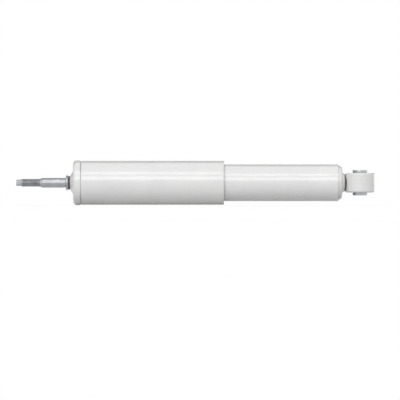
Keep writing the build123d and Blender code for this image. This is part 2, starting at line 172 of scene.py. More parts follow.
trial_end = (20 * MM, 5 * MM)
trial_bar = [(0, 0), (0, 5 * MM, 1 * MM), trial_end, (20 * MM, 0)]
trial_points = divided(rounded(trial_bar, arc_steps=6), longest_run=4 * MM)
print("trial bar, rounded at one end:", len(trial_points), "points in its outline")

# %% Where an outline wears, and where it keeps dirt
SPREAD = 0.9 * MM           # how far wear reaches from a sharp edge
BLUNT = 1.5 * MM            # an edge with this rounding wears half as much as a sharp one
STRAIGHT = 1e-12            # a corner that turns by less than this is none


def fade(point, centre, reach):
    """1 at the centre, and next to nothing at twice the reach."""
    return math.exp(-(((point - centre).length / reach) ** 2))


def edge_and_nook(points, corners):
    """Two lists: nearness to outer corners and to inner corners of the outline, from 0 to 1."""
    count = len(corners)
    flat = [Vector(corner[:2]) for corner in corners]
    area = sum(flat[i - 1].cross(flat[i]) for i in range(count))
    edge = [0.0] * len(points)
    nook = [0.0] * len(points)
    for i, corner in enumerate(corners):
        turn = (flat[i] - flat[i - 1]).cross(flat[(i + 1) % count] - flat[i])
        if abs(turn) < STRAIGHT:
            continue
        target = edge if turn * area > 0 else nook
        reach = SPREAD + rounding_of(corner) / 2
        sharpness = 1 / (1 + rounding_of(corner) / BLUNT)
        for k, point in enumerate(points):
            target[k] = max(target[k], sharpness * fade(point, flat[i], reach))
    return edge, nook


trial_edge, trial_nook = edge_and_nook(trial_points, trial_bar)
print("trial bar: sharpest edge", round(max(trial_edge), 2), "deepest nook", round(max(trial_nook), 2))

# %% How near each point of an outline is to a seam
SEAM_REACH = 0.4 * MM


def nearness(points, seams):
    """For each point, how near it is to one of these (place, radius) seams, from 0 to 1."""
    return [max((fade(point, Vector(seam), SEAM_REACH) for seam in seams), default=0.0) for point in points]


print("trial bar: nearest to a seam at its end", round(max(nearness(trial_points, [trial_end])), 2))


# %% Turn an outline into vertices and faces
def in_space(place, first, second, axis):
    """A point at this place along X or Z, and at two distances across it."""
    return (place, first, second) if axis == "X" else (first, second, place)


def turn_about(points, axis, segments):
    """The vertices that each point makes, all vertices, and the faces. A point on the axis is one pole."""
    rows = []
    vertices = []
    for point in points:
        if point.y < ON_AXIS:
            rows.append([len(vertices)] * segments)
            vertices.append(in_space(point.x, 0, 0, axis))
            continue
        rows.append(list(range(len(vertices), len(vertices) + segments)))
        for k in range(segments):
            angle = 2 * math.pi * k / segments
            vertices.append(in_space(point.x, point.y * math.cos(angle), point.y * math.sin(angle), axis))
    faces = []
    for i, row in enumerate(rows):
        below = rows[i - 1]
        for k in range(segments):
            after = (k + 1) % segments
            loop = [below[k], below[after], row[after], row[k]]
            kept = [vertex for n, vertex in enumerate(loop) if vertex != loop[n - 1]]
            if len(kept) > 2:
                faces.append(kept)
    return rows, vertices, faces


trial_faces = turn_about(trial_points, "X", segments=32)[2]
print("trial bar:", len(trial_faces), "faces")

# %% The lathe
SHARP_TURN = 35             # edges between faces that turn more than this many degrees are shaded sharp


def add_object(name, data):
    """A new object at the origin of the scene."""
    thing = bpy.data.objects.new(name, data)
    scene.collection.objects.link(thing)
    return thing


def face_outwards(mesh):
    """Turns all faces of a closed mesh outwards."""
    work = bmesh.new()
    work.from_mesh(mesh)
    bmesh.ops.recalc_face_normals(work, faces=work.faces)
    work.to_mesh(mesh)
    work.free()


def lathe(name, corners, longest_run, axis="X", segments=128, arc_steps=6, seams=()):
    """Closed turned mesh with outward faces, smooth shading, and its edge, nook and seam attributes."""
    points = divided(rounded(corners, arc_steps), longest_run)
    rows, vertices, faces = turn_about(points, axis, segments)
    mesh = bpy.data.meshes.new(name)
    mesh.from_pydata(vertices, [], faces)
    face_outwards(mesh)
    edge, nook = edge_and_nook(points, corners)
    for label, values in (("edge", edge), ("nook", nook), ("seam", nearness(points, seams))):
        spread_out = np.zeros(len(vertices), np.float32)
        for row, value in zip(rows, values):
            spread_out[row] = value
        mesh.attributes.new(label, "FLOAT", "POINT").data.foreach_set("value", spread_out)
    mesh.shade_smooth()
    mesh.set_sharp_from_angle(angle=math.radians(SHARP_TURN))
    print(name, "faces", len(mesh.polygons))
    return add_object(name, mesh)


print("lathe ready, sharp edges from", SHARP_TURN, "degrees")

# %% [markdown]
# ## Maths with nodes
# A finish or a Geometry Nodes tree is a formula made of nodes. It could be wired one Math node at a time,
# but then nobody sees the formula. Here a Signal stands for what a node puts out. Adding or multiplying
# signals places the Math nodes, so each tree below reads as the formula that it is.


# %% Signals
class Signal:
    """What a node puts out. A sign between signals and numbers places a Math node in the same tree."""

    def __init__(self, node, output=0):
        self.tree = node.id_data
        self.socket = node.outputs[output]

    def __add__(self, other):
        return maths("ADD", self, other)

    def __sub__(self, other):
        return maths("SUBTRACT", self, other)

    def __rsub__(self, other):
        return maths("SUBTRACT", other, self)

    def __mul__(self, other):
        return maths("MULTIPLY", self, other)

    def __truediv__(self, other):
        return maths("DIVIDE", self, other)

    def __rtruediv__(self, other):
        return maths("DIVIDE", other, self)


def feed(value, socket):
    """Wires a signal to a socket, or sets the socket to a plain value."""
    if isinstance(value, Signal):
        value.tree.links.new(value.socket, socket)
    else:
        socket.default_value = value


def place_node(tree, kind, **feeds):
    """A node with these inputs fed, each named as on the node with _ for a space."""
    node = tree.nodes.new(kind)
    for label, value in feeds.items():
        feed(value, node.inputs[label.replace("_", " ")])
    return node


def maths(operation, *values, clamp=False):
    """A Math node. At least one of its values is a signal, which tells it its tree."""
    tree = next(value.tree for value in values if isinstance(value, Signal))
    node = tree.nodes.new("ShaderNodeMath")
    node.operation = operation
    node.use_clamp = clamp
    for value, socket in zip(values, node.inputs):
        feed(value, socket)
    return Signal(node)


print("signs that place a Math node: + - * /")


# %% What the formulas use
def split(vector):
    """X, Y and Z of a vector."""
    parts = place_node(vector.tree, "ShaderNodeSeparateXYZ", Vector=vector)
    return [Signal(parts, k) for k in range(3)]


def off_axis(y, z):
    """How far a point is from the X axis."""
    return maths("SQRT", y * y + z * z)


def noise(vector, scale, detail=3.0, roughness=0.55):
    """Noise from 0 to 1, with about so many lumps to a metre."""
    node = place_node(vector.tree, "ShaderNodeTexNoise", Vector=vector, Scale=scale, Detail=detail,
                      Roughness=roughness)
    return Signal(node, "Fac")


def remap(value, low, high, to_low=0.0, to_high=1.0):
    """Stretches what lies between low and high, and holds what lies outside."""
    node = value.tree.nodes.new("ShaderNodeMapRange")
    for part, socket in zip((value, low, high, to_low, to_high), node.inputs):
        feed(part, socket)
    return Signal(node, "Result")


def mix(share, first, second):
    """A mix of two colours, with this share of the second."""
    node = place_node(share.tree, "ShaderNodeMix", Factor=share)
    node.data_type = "RGBA"
    first_colour, second_colour = (socket for socket in node.inputs if socket.type == "RGBA")
    feed(first, first_colour)
    feed(second, second_colour)
    return next(Signal(node, k) for k, socket in enumerate(node.outputs) if socket.type == "RGBA")


print("formulas can use noise, a stretch, a mix of colours and the distance from the axis")


# %% A new tree with named inputs
def new_tree(kind, name, inputs, outputs):
    """A Shader or Geometry tree, a signal for each of its inputs by name, and its output node.

    Each input is (name, type) or (name, type, value), and each output (name, type).
    """
    tree = bpy.data.node_groups.new(name, kind + "NodeTree")
    for label, socket_type, *value in inputs:
        socket = tree.interface.new_socket(label, in_out="INPUT", socket_type="NodeSocket" + socket_type)
        if value:
            socket.default_value = value[0]
    for label, socket_type in outputs:
        tree.interface.new_socket(label, in_out="OUTPUT", socket_type="NodeSocket" + socket_type)
    entry = tree.nodes.new("NodeGroupInput")
    given = {label: Signal(entry, label) for label, *_ in inputs}
    return tree, given, tree.nodes.new("NodeGroupOutput")


print("a tree takes its values from named inputs")

# %% [markdown]
# ## Uneven colour
# No coat, plating or rubber has one even colour. An image could bring the blotches, but noise in the
# object's own space needs no image and holds from near and far. Every finish of the part needs it, so it is
# a node group with named inputs, built once: a broad noise with a finer one on it decides between two near
# colours.

# %% The group for uneven colour
FINER = 9.0                 # the fine noise has so many times the lumps of the broad one
BROAD_PART = 0.7            # the rest of the mix is the fine noise
MOTTLE_SPAN = (0.36, 0.64)  # the mix lies mostly between these


def uneven_colour():
    """A mix of two near colours, by a broad noise with a finer one on it."""
    tree, given, result = new_tree("Shader", "uneven_colour", [
        ("Vector", "Vector"), ("Colour", "Color", (0.5, 0.5, 0.5, 1)),
        ("Second colour", "Color", (0.4, 0.4, 0.4, 1)), ("Scale", "Float", 60.0), ("Strength", "Float", 0.5),
    ], [("Colour", "Color")])
    broad = noise(given["Vector"], given["Scale"], detail=4.0)
    finer = noise(given["Vector"], given["Scale"] * FINER, detail=2.0)
    both = broad * BROAD_PART + finer * (1 - BROAD_PART)
    share = remap(both, *MOTTLE_SPAN) * given["Strength"]
    feed(mix(share, given["Colour"], given["Second colour"]), result.inputs["Colour"])
    return tree


mottle = uneven_colour()
print(mottle.name, "nodes", len(mottle.nodes))

# %% [markdown]
# ## Worn edges and dirty corners
# Paint chips off in ragged spots, on some stretches of an edge and not on others, and dirt sits in corners
# in the same way. A smooth band would look airbrushed. So fine noise is added to how near the edge is, a
# broad noise leaves whole stretches out, and only what gets over a threshold counts. Both effects share the
# group.

# %% The group for broken patches
BROADER = 0.06              # the broad noise has this share of the fine one's lumps
STRETCH_SPAN = (0.42, 0.62)     # a stretch is whole where the broad noise is under it, and worn over it
THRESHOLD = 0.86            # only what gets over this shows
CRISPNESS = 9.0             # how soon a patch is full beyond the threshold


def broken_patches():
    """Ragged spots, 1 in them and 0 outside, where Where is near 1."""
    tree, given, result = new_tree("Shader", "broken_patches", [
        ("Vector", "Vector"), ("Where", "Float", 0.0), ("Scale", "Float", 900.0), ("Reach", "Float", 0.5),
    ], [("Mask", "Float")])
    chips = noise(given["Vector"], given["Scale"], detail=5.0, roughness=0.65)
    broad = noise(given["Vector"], given["Scale"] * BROADER, detail=2.0)
    level = given["Where"] * given["Reach"] * remap(broad, *STRETCH_SPAN)
    beyond = chips + level - THRESHOLD
    feed(maths("MULTIPLY", beyond, CRISPNESS, clamp=True), result.inputs["Mask"])
    return tree


patches = broken_patches()
print(patches.name, "nodes", len(patches.nodes))

# %% [markdown]
# ## Rings left by turning, grinding or drawing
# A tool that feeds along a turning bar leaves fine rings, and a bright metal part without them looks like
# plastic. A wave would be too regular. Noise that is squeezed along X and along the radius gives uneven
# rings on round walls and flat faces alike, and a little drift round the part keeps them from being
# perfect.

# %% The group for turned rings
RING_DRIFT = 0.6            # how much a ring changes on its way round


def turned_rings():
    """The height of uneven rings about the X axis."""
    tree, given, result = new_tree("Shader", "turned_rings", [
        ("Vector", "Vector"), ("Rings per metre", "Float", 2500.0),
    ], [("Height", "Float")])
    x, y, z = split(given["Vector"])
    drift = maths("SINE", maths("ARCTAN2", z, y)) * RING_DRIFT
    lines = place_node(tree, "ShaderNodeCombineXYZ", X=x * given["Rings per metre"],
                       Y=off_axis(y, z) * given["Rings per metre"], Z=drift)
    feed(noise(Signal(lines), scale=1.0, detail=2.0), result.inputs["Height"])
    return tree


rings = turned_rings()
print(rings.name, "nodes", len(rings.nodes))

# %% [markdown]
# ## How a finish is made
# A material here is a Principled shader fed by those groups. A small builder holds what all of them share:
# the tree, the shader and the object's own coordinates, which don't slide when a part moves. So each finish
# below reads as what it is: a colour, how uneven it is, how it wears and how it shines.


# %% The parts every finish shares
class Finish:
    """A material being made. turn brings the axis of a part that was turned about Z onto X."""

    def __init__(self, name, turn=None):
        self.material = bpy.data.materials.new(name)
        self.material.use_nodes = True
        self.tree = self.material.node_tree
        self.shader = self.tree.nodes["Principled BSDF"]
        self.place = Signal(self.tree.nodes.new("ShaderNodeTexCoord"), "Object")
        if turn:
            self.place = Signal(place_node(self.tree, "ShaderNodeMapping", Vector=self.place, Rotation=turn))

    def use(self, group, **values):
        """Places a shared effect with these values, and gives what it puts out."""
        node = self.tree.nodes.new("ShaderNodeGroup")
        node.node_tree = group
        feed(self.place, node.inputs["Vector"])
        for label, value in values.items():
            feed(value, node.inputs[label.replace("_", " ")])
        return Signal(node)

    def near(self, label):
        """The edge, nook or seam attribute that the lathe wrote."""
        node = self.tree.nodes.new("ShaderNodeAttribute")
        node.attribute_name = label
        return Signal(node, "Fac")

    def set(self, **values):
        """Feeds these sockets of the shader."""
        for label, value in values.items():
            feed(value, self.shader.inputs[label.replace("_", " ")])

    def bump(self, height, depth, strength):
        """Fine relief of this depth, on top of the relief that there is."""
        node = place_node(self.tree, "ShaderNodeBump", Height=height, Distance=depth, Strength=strength)
        before = self.shader.inputs["Normal"].links
        if before:
            self.tree.links.new(before[0].from_socket, node.inputs["Normal"])
        self.tree.links.new(node.outputs["Normal"], self.shader.inputs["Normal"])


print("a finish can", [name for name in vars(Finish) if not name.startswith("_")])

# %% Colours, covers and roughness
NOISE_SPAN = (0.3, 0.7)     # a single noise lies mostly between these


def rgba(red, green, blue):
    """A colour as a socket takes it."""
    return (red, green, blue, 1.0)


def cover(colour, mask, tint, strength):
    """The colour with a tint over it where the mask is."""
    return mix(mask * strength, colour, tint)


def roughness_by(pattern, smooth, rough):
    """Roughness that follows a noise, from smooth where it is low to rough where it is high."""
    return remap(pattern, *NOISE_SPAN, smooth, rough)


finishes = {}
print("a finish reads its patterns between", NOISE_SPAN)

# %% [markdown]
# ## Pale satin paint
# The cap, both tubes, the end cap and the eye ring share one sprayed coat. A single white would look like
# plastic. Real paint has two near whites, the fine dimples of the spray gun under a thin gloss, chips that
# show dull steel on its edges, dirt in its corners, and a dark line where two parts meet, which is painted
# shade for the gap between them with a little dirt. The chips are cut in by the bump as deep as the coat is
# thick, because a flat grey spot wouldn't catch the light.

# %% Paint
PAINT = rgba(0.83, 0.835, 0.825)
PAINT_SHADE = rgba(0.77, 0.775, 0.765)
ROAD_DIRT = rgba(0.30, 0.29, 0.27)
# painted shade of the gap where two parts meet, with a little dirt in it
SEAM_SHADE = rgba(0.15, 0.145, 0.14)
BARE_STEEL = rgba(0.34, 0.34, 0.35)
BARE_METALLIC = 0.7         # a chip is dull steel
DIMPLE_DEPTH = 0.02 * MM
COAT_DEPTH = 0.05 * MM


def pale_paint():
    """Sprayed satin paint with chips, dirt, and painted shade along its seams."""
    paint = Finish("pale_paint")
    colour = paint.use(mottle, Colour=PAINT, Second_colour=PAINT_SHADE, Scale=28.0, Strength=0.8)
    dirt = paint.use(patches, Where=paint.near("nook"), Scale=500.0, Reach=0.75)
    colour = cover(colour, dirt, ROAD_DIRT, strength=0.55)
    # the seam line is painted shade: the shadow in the gap between two parts, with a little dirt
    colour = cover(colour, paint.near("seam"), SEAM_SHADE, strength=0.8)
    worn = paint.use(patches, Where=paint.near("edge"), Scale=1300.0, Reach=0.52)
    colour = mix(worn, colour, BARE_STEEL)
    paint.set(Base_Color=colour, Roughness=roughness_by(noise(paint.place, scale=140.0), 0.30, 0.42),
              Metallic=worn * BARE_METALLIC, Coat_Weight=0.6, Coat_Roughness=0.12, IOR=1.5)
    paint.bump(noise(paint.place, scale=900.0, detail=2.0), DIMPLE_DEPTH, strength=0.5)
    paint.bump(1.0 - worn, COAT_DEPTH, strength=0.8)
    return paint.material


finishes["pale_paint"] = pale_paint()
print("paint", [round(value, 3) for value in PAINT])

# %% [markdown]
# ## Turned, plated and drawn metal
# The stud, the rod, the springs and the washers are bare or plated metals with the rings of their making.
# Anisotropic gloss could hint at the rings, but a bump shows them from every side. The metals differ only
# in tint, shine and how close the rings are, so one function makes them all. Oil and dust dull their
# corners.

# %% A metal with rings
OILY_GRIME = rgba(0.10, 0.095, 0.09)
GRIME_COVER = 0.6
GRIME_DULLS = 0.3           # what full grime adds to the roughness
RING_DEPTH = 0.01 * MM


def turned_metal(name, bright, dull, rings_per_metre, shine, turn=None):
    """bright and dull are the metal's two tints, and shine its lowest and highest roughness."""
    metal = Finish(name, turn)
    colour = metal.use(mottle, Colour=bright, Second_colour=dull, Scale=110.0, Strength=0.8)
    grime = metal.use(patches, Where=metal.near("nook"), Scale=700.0, Reach=0.55)
    lines = metal.use(rings, Rings_per_metre=rings_per_metre)
    metal.set(Base_Color=cover(colour, grime, OILY_GRIME, GRIME_COVER),
              Roughness=roughness_by(lines, *shine) + grime * GRIME_DULLS, Metallic=1.0)
    metal.bump(lines, RING_DEPTH, strength=0.6)
    return metal.material


print("rings are", RING_DEPTH / MM, "mm deep")

# %% [markdown]
# ## Zinc and chrome
# Zinc plating is a soft blue grey with a dull shine. It could be made bright, but on a white ground a
# bright stud loses its outline, and old zinc is dull anyway. The eye's sleeve is zinc too, a little
# brighter so that it stands out from the rubber, and its rings run round Z. Hard chrome on a rod is
# brighter still and ground to very fine rings.

# %% Zinc on the collar and the sleeve, chrome on the rod
ZINC = rgba(0.43, 0.44, 0.46)
ZINC_DULL = rgba(0.30, 0.31, 0.33)
ZINC_SHINE = (0.31, 0.49)
ZINC_RINGS = 5200.0
CHROME = rgba(0.80, 0.81, 0.82)
UPRIGHT = (0.0, math.radians(90), 0.0)      # brings Z onto X
finishes["zinc_steel"] = turned_metal("zinc_steel", ZINC, ZINC_DULL, ZINC_RINGS, ZINC_SHINE)
sleeve_zinc = turned_metal("sleeve_zinc", bright=rgba(0.53, 0.54, 0.56), dull=rgba(0.39, 0.40, 0.42),
                           rings_per_metre=ZINC_RINGS, shine=(0.26, 0.44), turn=UPRIGHT)
finishes["chrome_rod"] = turned_metal("chrome_rod", bright=CHROME, dull=rgba(0.74, 0.75, 0.77),
                                      rings_per_metre=12000.0, shine=(0.08, 0.16))
print("zinc", ZINC, "chrome", CHROME)

# %% [markdown]
# ## Drawn steel, spring steel and bronze
# The pressure tube, the washers and the nuts inside are plain drawn or turned steel. The springs and the
# thin valve plates are hardened, which leaves them nearly black with a blue tint. The bush that guides the
# rod is bronze. They only show when the damper is taken apart. One grey would do from far off, but side by
# side the pieces would look alike, so each metal has its tints.

# %% The metals inside
finishes["drawn_steel"] = turned_metal(
    "drawn_steel", bright=rgba(0.50, 0.51, 0.52), dull=rgba(0.38, 0.385, 0.39),
    rings_per_metre=3800.0, shine=(0.28, 0.46))
finishes["spring_steel"] = turned_metal(
    "spring_steel", bright=rgba(0.24, 0.25, 0.28), dull=rgba(0.13, 0.14, 0.17),
    rings_per_metre=4200.0, shine=(0.25, 0.42))
finishes["bearing_bronze"] = turned_metal(
    "bearing_bronze", bright=rgba(0.62, 0.43, 0.24), dull=rgba(0.44, 0.28, 0.15),
    rings_per_metre=5200.0, shine=(0.25, 0.4))
print("metals", [name for name in finishes if name != "pale_paint"])

# %% [markdown]
# ## Weld metal
# A weld that was left unpainted is dark, with brown stretches where it was hottest and a scaly skin. Plain
# dark grey would look like paint. So a strong mottle gives the heat tints, and one noise drives both the
# gloss and the skin, so that a high spot is also a dull one. The ripple is in the mesh, further below.

# %% Welds
SCALE_DEPTH = 0.05 * MM


def weld_metal():
    """Dark, scaly metal with heat tints."""
    weld = Finish("weld_bead")
    colour = weld.use(mottle, Colour=rgba(0.085, 0.08, 0.078), Second_colour=rgba(0.20, 0.17, 0.145),
                      Scale=260.0, Strength=0.9)
    skin = noise(weld.place, scale=2600.0, detail=4.0)
    weld.set(Base_Color=colour, Roughness=roughness_by(skin, 0.38, 0.68), Metallic=0.65)
    weld.bump(skin, SCALE_DEPTH, strength=0.7)
    return weld.material


finishes["weld_bead"] = weld_metal()
print("the scale on a weld is", SCALE_DEPTH / MM, "mm deep")

# %% [markdown]
# ## Moulded rubber
# The bush and the rod seal are black rubber. Pure black would hide their form, and real rubber is a very
# dark grey with a pale bloom on its edges, where wax comes to the surface. The broken patches make the
# bloom, and fine grain from the mould breaks up the shine.

# %% Rubber
RUBBER_BLOOM = rgba(0.13, 0.13, 0.125)
RUBBER_GRAIN = 0.03 * MM


def moulded_rubber():
    """Grainy rubber, nearly black, with a pale bloom on its edges."""
    rubber = Finish("black_rubber")
    colour = rubber.use(mottle, Colour=rgba(0.022, 0.022, 0.023), Second_colour=rgba(0.055, 0.054, 0.052),
                        Scale=170.0, Strength=0.8)
    bloom = rubber.use(patches, Where=rubber.near("edge"), Scale=420.0, Reach=0.5)
    grain = noise(rubber.place, scale=3200.0)
    rubber.set(Base_Color=cover(colour, bloom, RUBBER_BLOOM, strength=0.5),
               Roughness=roughness_by(grain, 0.58, 0.80), IOR=1.45)
    rubber.bump(grain, RUBBER_GRAIN, strength=0.6)
    return rubber.material


finishes["black_rubber"] = moulded_rubber()
print("the grain of the rubber is", RUBBER_GRAIN / MM, "mm deep")

# %% [markdown]
# ## Sintered iron
# The rod guide, the piston and the foot valve's body are pressed from iron powder and baked. That leaves a
# grey, matt metal full of tiny pores. Holes in the mesh would cost far too many faces, so a fine noise
# makes the pores by bump, and the same noise varies the gloss.

# %% Iron
PORE_DEPTH = 0.04 * MM


def sintered_iron():
    """Matt grey iron full of pores."""
    iron = Finish("sintered_iron")
    colour = iron.use(mottle, Colour=rgba(0.21, 0.205, 0.20), Second_colour=rgba(0.12, 0.115, 0.11),
                      Scale=400.0, Strength=0.9)
    pores = noise(iron.place, scale=5200.0, detail=2.0)
    iron.set(Base_Color=colour, Roughness=roughness_by(pores, 0.45, 0.75), Metallic=0.8)
    iron.bump(pores, PORE_DEPTH, strength=0.8)
    return iron.material


finishes["sintered_iron"] = sintered_iron()
print("pores are", PORE_DEPTH / MM, "mm deep")

# %% [markdown]
# ## Two plastics
# The rebound bumper is a straw-coloured elastic plastic, and the piston ring a dark green low-friction one.
# Light passes a little way into such plastics, but these pieces sit deep inside the tubes, so a plain
# surface is enough. Both are moulded and differ in colour and shine only, so one function makes the two.

# %% Plastics
PLASTIC_GRAIN = 0.02 * MM


def moulded_plastic(name, colour, second, shine):
    """shine is the plastic's lowest and highest roughness."""
    plastic = Finish(name)
    grain = noise(plastic.place, scale=2400.0, detail=2.0)
    tint = plastic.use(mottle, Colour=colour, Second_colour=second, Scale=150.0, Strength=0.7)
    plastic.set(Base_Color=tint, Roughness=roughness_by(grain, *shine))
    plastic.bump(grain, PLASTIC_GRAIN, strength=0.5)
    return plastic.material


finishes["cushion_plastic"] = moulded_plastic(
    "cushion_plastic", colour=rgba(0.60, 0.53, 0.38), second=rgba(0.50, 0.43, 0.29), shine=(0.42, 0.60))
finishes["ring_plastic"] = moulded_plastic(
    "ring_plastic", colour=rgba(0.10, 0.19, 0.16), second=rgba(0.07, 0.13, 0.11), shine=(0.35, 0.50))
print("finishes", sorted(finishes))

# %% [markdown]
# ## Finishing the solids
# The record names a slot for each solid, and every slot has a finish now. Most pieces inside the damper
# have the right shape already, so they stay and only get their finish. The pieces that show from outside
# and the springs are made again below. Each stands for its solid: it gets the finish of the solid's slot
# where it has none, rides on the solid's body, and the solid is hidden. Only the bead at the eye stands for
# nothing, because the solid weld stays under it.

# %% A finish for each solid
slot_of = {row["node"]: row["material_slot"] for row in frame["record"]["subparts"]}
for name, solid in frame["nodes"].items():
    solid.data.materials.clear()
    solid.data.materials.append(finishes[slot_of[name]])
print("solids with a finish", len(slot_of))


# %% Put a new piece in a solid's place
def stand_for(piece, node, material=None):
    """The piece gets the finish of a CAD node's slot if it has none, rides on the node's body, and the node
    is hidden.
    """
    if not piece.data.materials:
        piece.data.materials.append(material or finishes[slot_of[node]])
    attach(piece, frame["nodes"][node]["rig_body"])
    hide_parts(node)
    print(piece.name, "stands for", node)


# %% [markdown]
# ## Geometry Nodes helpers
# Four things here follow a rule: the thread winds round the stud, a weld repeats its ripple, and the valve
# springs are coils or notched rings. Python could work out every point, but a Geometry Nodes tree with
# named inputs shows the rule, and takes other sizes too. A modifier's inputs are set by their identifiers.
# When the result is right it is turned into a plain mesh, and the modifier goes.

# %% Points and endings of a tree
GEOMETRY = ("Geometry", "Geometry")      # the socket that each tree takes and gives: its name and type


def point_places(tree):
    """X, Y and Z of each point of the geometry."""
    return split(Signal(tree.nodes.new("GeometryNodeInputPosition")))


def move_to(geometry, x, y, z):
    """The geometry with its points at these places."""
    place = place_node(geometry.tree, "ShaderNodeCombineXYZ", X=x, Y=y, Z=z)
    moved = place_node(geometry.tree, "GeometryNodeSetPosition", Geometry=geometry, Position=Signal(place))
    return Signal(moved)


def shaded_smooth(geometry):
    """The geometry with smooth shading."""
    return Signal(place_node(geometry.tree, "GeometryNodeSetShadeSmooth", Geometry=geometry))


def end_tree(geometry, given, result):
    """Every tree ends the same way, because instances and unset materials are lost later."""
    real = place_node(geometry.tree, "GeometryNodeRealizeInstances", Geometry=geometry)
    painted = place_node(geometry.tree, "GeometryNodeSetMaterial", Geometry=Signal(real),
                         Material=given["Material"])
    feed(Signal(painted), result.inputs["Geometry"])


print("each tree takes and gives", GEOMETRY[0])


# %% Run a tree and keep its mesh
def run_tree(thing, tree, **values):
    """Runs a tree on an object with these input values and keeps the result as a plain mesh."""
    modifier = thing.modifiers.new(tree.name, "NODES")
    modifier.node_group = tree
    for item in tree.interface.items_tree:
        label = item.name.replace(" ", "_")
        if item.in_out == "INPUT" and label in values:
            modifier[item.identifier] = values[label]
    bpy.context.view_layer.update()
    evaluated = thing.evaluated_get(bpy.context.evaluated_depsgraph_get())
    mesh = bpy.data.meshes.new_from_object(evaluated)
    name = thing.name
    bpy.data.objects.remove(thing)
    mesh.name = name
    print(name, "faces", len(mesh.polygons))
    return add_object(name, mesh)


# %% [markdown]
# ## The rod and its threaded stud
# The rod is one bar. Its lower part is ground and chromed and stays inside the tubes, even when the damper
# is fully out. The end that shows is turned down to a plain shank, an M10 thread and a small tip with two
# flats for a spanner. A thread could be a helix swept round the bar, but that is hard to close at its ends.
# So the bar is turned first, with close rings where the thread goes, and a tree then cuts the thread: it
# reads how far along and how far round each point lies, and moves it in by the depth of the groove there.

# %% Sizes along the rod
mounts = {mount["name"]: mount for mount in frame["record"]["mounts"]}


def pin_span(name):
    """Start, end and radius of a pin mount along X, in metres."""
    middle = mounts[name]["pos_m"][0]
    half = mounts[name]["dims"]["length_mm"] * MM / 2
    return middle - half, middle + half, mounts[name]["dims"]["r_mm"] * MM


rod_start, rod_end, _, rod_r = turned_size("piston_rod")
thread_start, thread_end, thread_r = pin_span("stud_thread")
shank_start, shank_end, shank_r = pin_span("stud_shank")
cap_start, cap_end, cap_bore, cap_r = turned_size("dust_cap")
PITCH = 1.25 * MM
TOOTH = 0.767 * MM          # 0.6134 of the pitch, the depth of an outside metric thread
LEAD = 1.6 * MM             # the cone between tip and thread
RUN_OUT = 2.0 * MM          # the thread gets shallower over this length before its end
TIP_R = 3.75 * MM
TIP_FLATS = 6.1 * MM
tip_end = thread_start - LEAD
print("thread", thread_start, thread_end, "shank", shank_start, shank_end)

# %% The depth of the groove at each point
GROOVE_FLOOR = 0.22         # share of the way from groove to crest where the floor ends
CREST_EDGE = 0.86           # and where the crest begins
FADE_IN = (-0.3 * MM, 0.5 * MM)     # the thread grows to its full depth between these


def groove_depth(given, along, across, up):
    """How deep the thread is cut at a point: full in the groove, nothing on the crest and past both ends."""
    from_start = along - given["Start"]
    to_end = given["End"] - along
    turns = from_start / given["Pitch"]
    phase = maths("FRACT", turns - maths("ARCTAN2", up, across) / (2 * math.pi))
    to_crest = maths("ABSOLUTE", phase * 2.0 - 1.0)
    flank = remap(to_crest, GROOVE_FLOOR, CREST_EDGE)
    fade_in = remap(from_start, *FADE_IN)
    fade_out = maths("DIVIDE", to_end, given["Run out"], clamp=True)
    return (1.0 - flank) * given["Depth"] * (fade_in * fade_out)


print("floor of the groove to", GROOVE_FLOOR, "and crest from", CREST_EDGE)

# %% The tree that cuts the thread and the flats
NO_FLATS = 1.0              # past the tip the flats are a metre off the axis, so they cut nothing
LEAST_R = 0.01 * MM         # keeps a point on the axis from a division by nothing


def cut_thread():
    """Cuts a thread from Start to End, and two flats before Flat end."""
    tree, given, result = new_tree("Geometry", "cut_thread", [
        GEOMETRY, ("Start", "Float"), ("End", "Float"), ("Pitch", "Float"), ("Depth", "Float"),
        ("Run out", "Float"), ("Flat end", "Float"), ("Across flats", "Float"), ("Material", "Material"),
    ], [GEOMETRY])
    along, across, up = point_places(tree)
    radius = off_axis(across, up)
    shrink = (radius - groove_depth(given, along, across, up)) / maths("MAXIMUM", radius, LEAST_R)
    past_tip = 1.0 - maths("LESS_THAN", along, given["Flat end"])
    limit = given["Across flats"] * 0.5 + past_tip * NO_FLATS
    held = maths("MINIMUM", maths("MAXIMUM", across * shrink, limit * -1.0), limit)
    end_tree(move_to(given["Geometry"], along, held, up * shrink), given, result)
    return tree


thread_tree = cut_thread()
print(thread_tree.name, "nodes", len(thread_tree.nodes))

# %% [markdown]
# ## The finish of the rod
# The stud is zinc plated and the rod below the cap is hard chromed, on one bar. Two slots on one mesh would
# need an edge between them. So one material reads how far along the bar it is, and changes from zinc to
# chrome within a millimetre, in the cap's hole, where no one sees it.

# %% Zinc on the stud, chrome below the cap
CHANGE = 1 * MM
CHROME_RINGS = 14000.0
CHROME_SHINE = (0.07, 0.15)
STUD_RING_DEPTH = 0.012 * MM


def rod_finish():
    """Zinc on the stud, and chrome below the cap."""
    metal = Finish("stud_and_rod")
    chromed = remap(split(metal.place)[0], cap_start, cap_start + CHANGE)
    plated = 1.0 - chromed
    zinc = metal.use(mottle, Colour=ZINC, Second_colour=ZINC_DULL, Scale=140.0, Strength=0.85)
    grime = metal.use(patches, Where=metal.near("nook"), Scale=800.0, Reach=0.6)
    coarse = metal.use(rings, Rings_per_metre=ZINC_RINGS)
    fine = metal.use(rings, Rings_per_metre=CHROME_RINGS)
    rough = roughness_by(coarse, *ZINC_SHINE) * plated + roughness_by(fine, *CHROME_SHINE) * chromed
    metal.set(Base_Color=mix(chromed, cover(zinc, grime, OILY_GRIME, GRIME_COVER), CHROME), Roughness=rough,
              Metallic=1.0)
    metal.bump(coarse * plated, STUD_RING_DEPTH, strength=0.7)
    return metal.material


rod_metal = rod_finish()
print("chrome starts", round((cap_start - rod_start) / MM, 1), "mm from the tip")

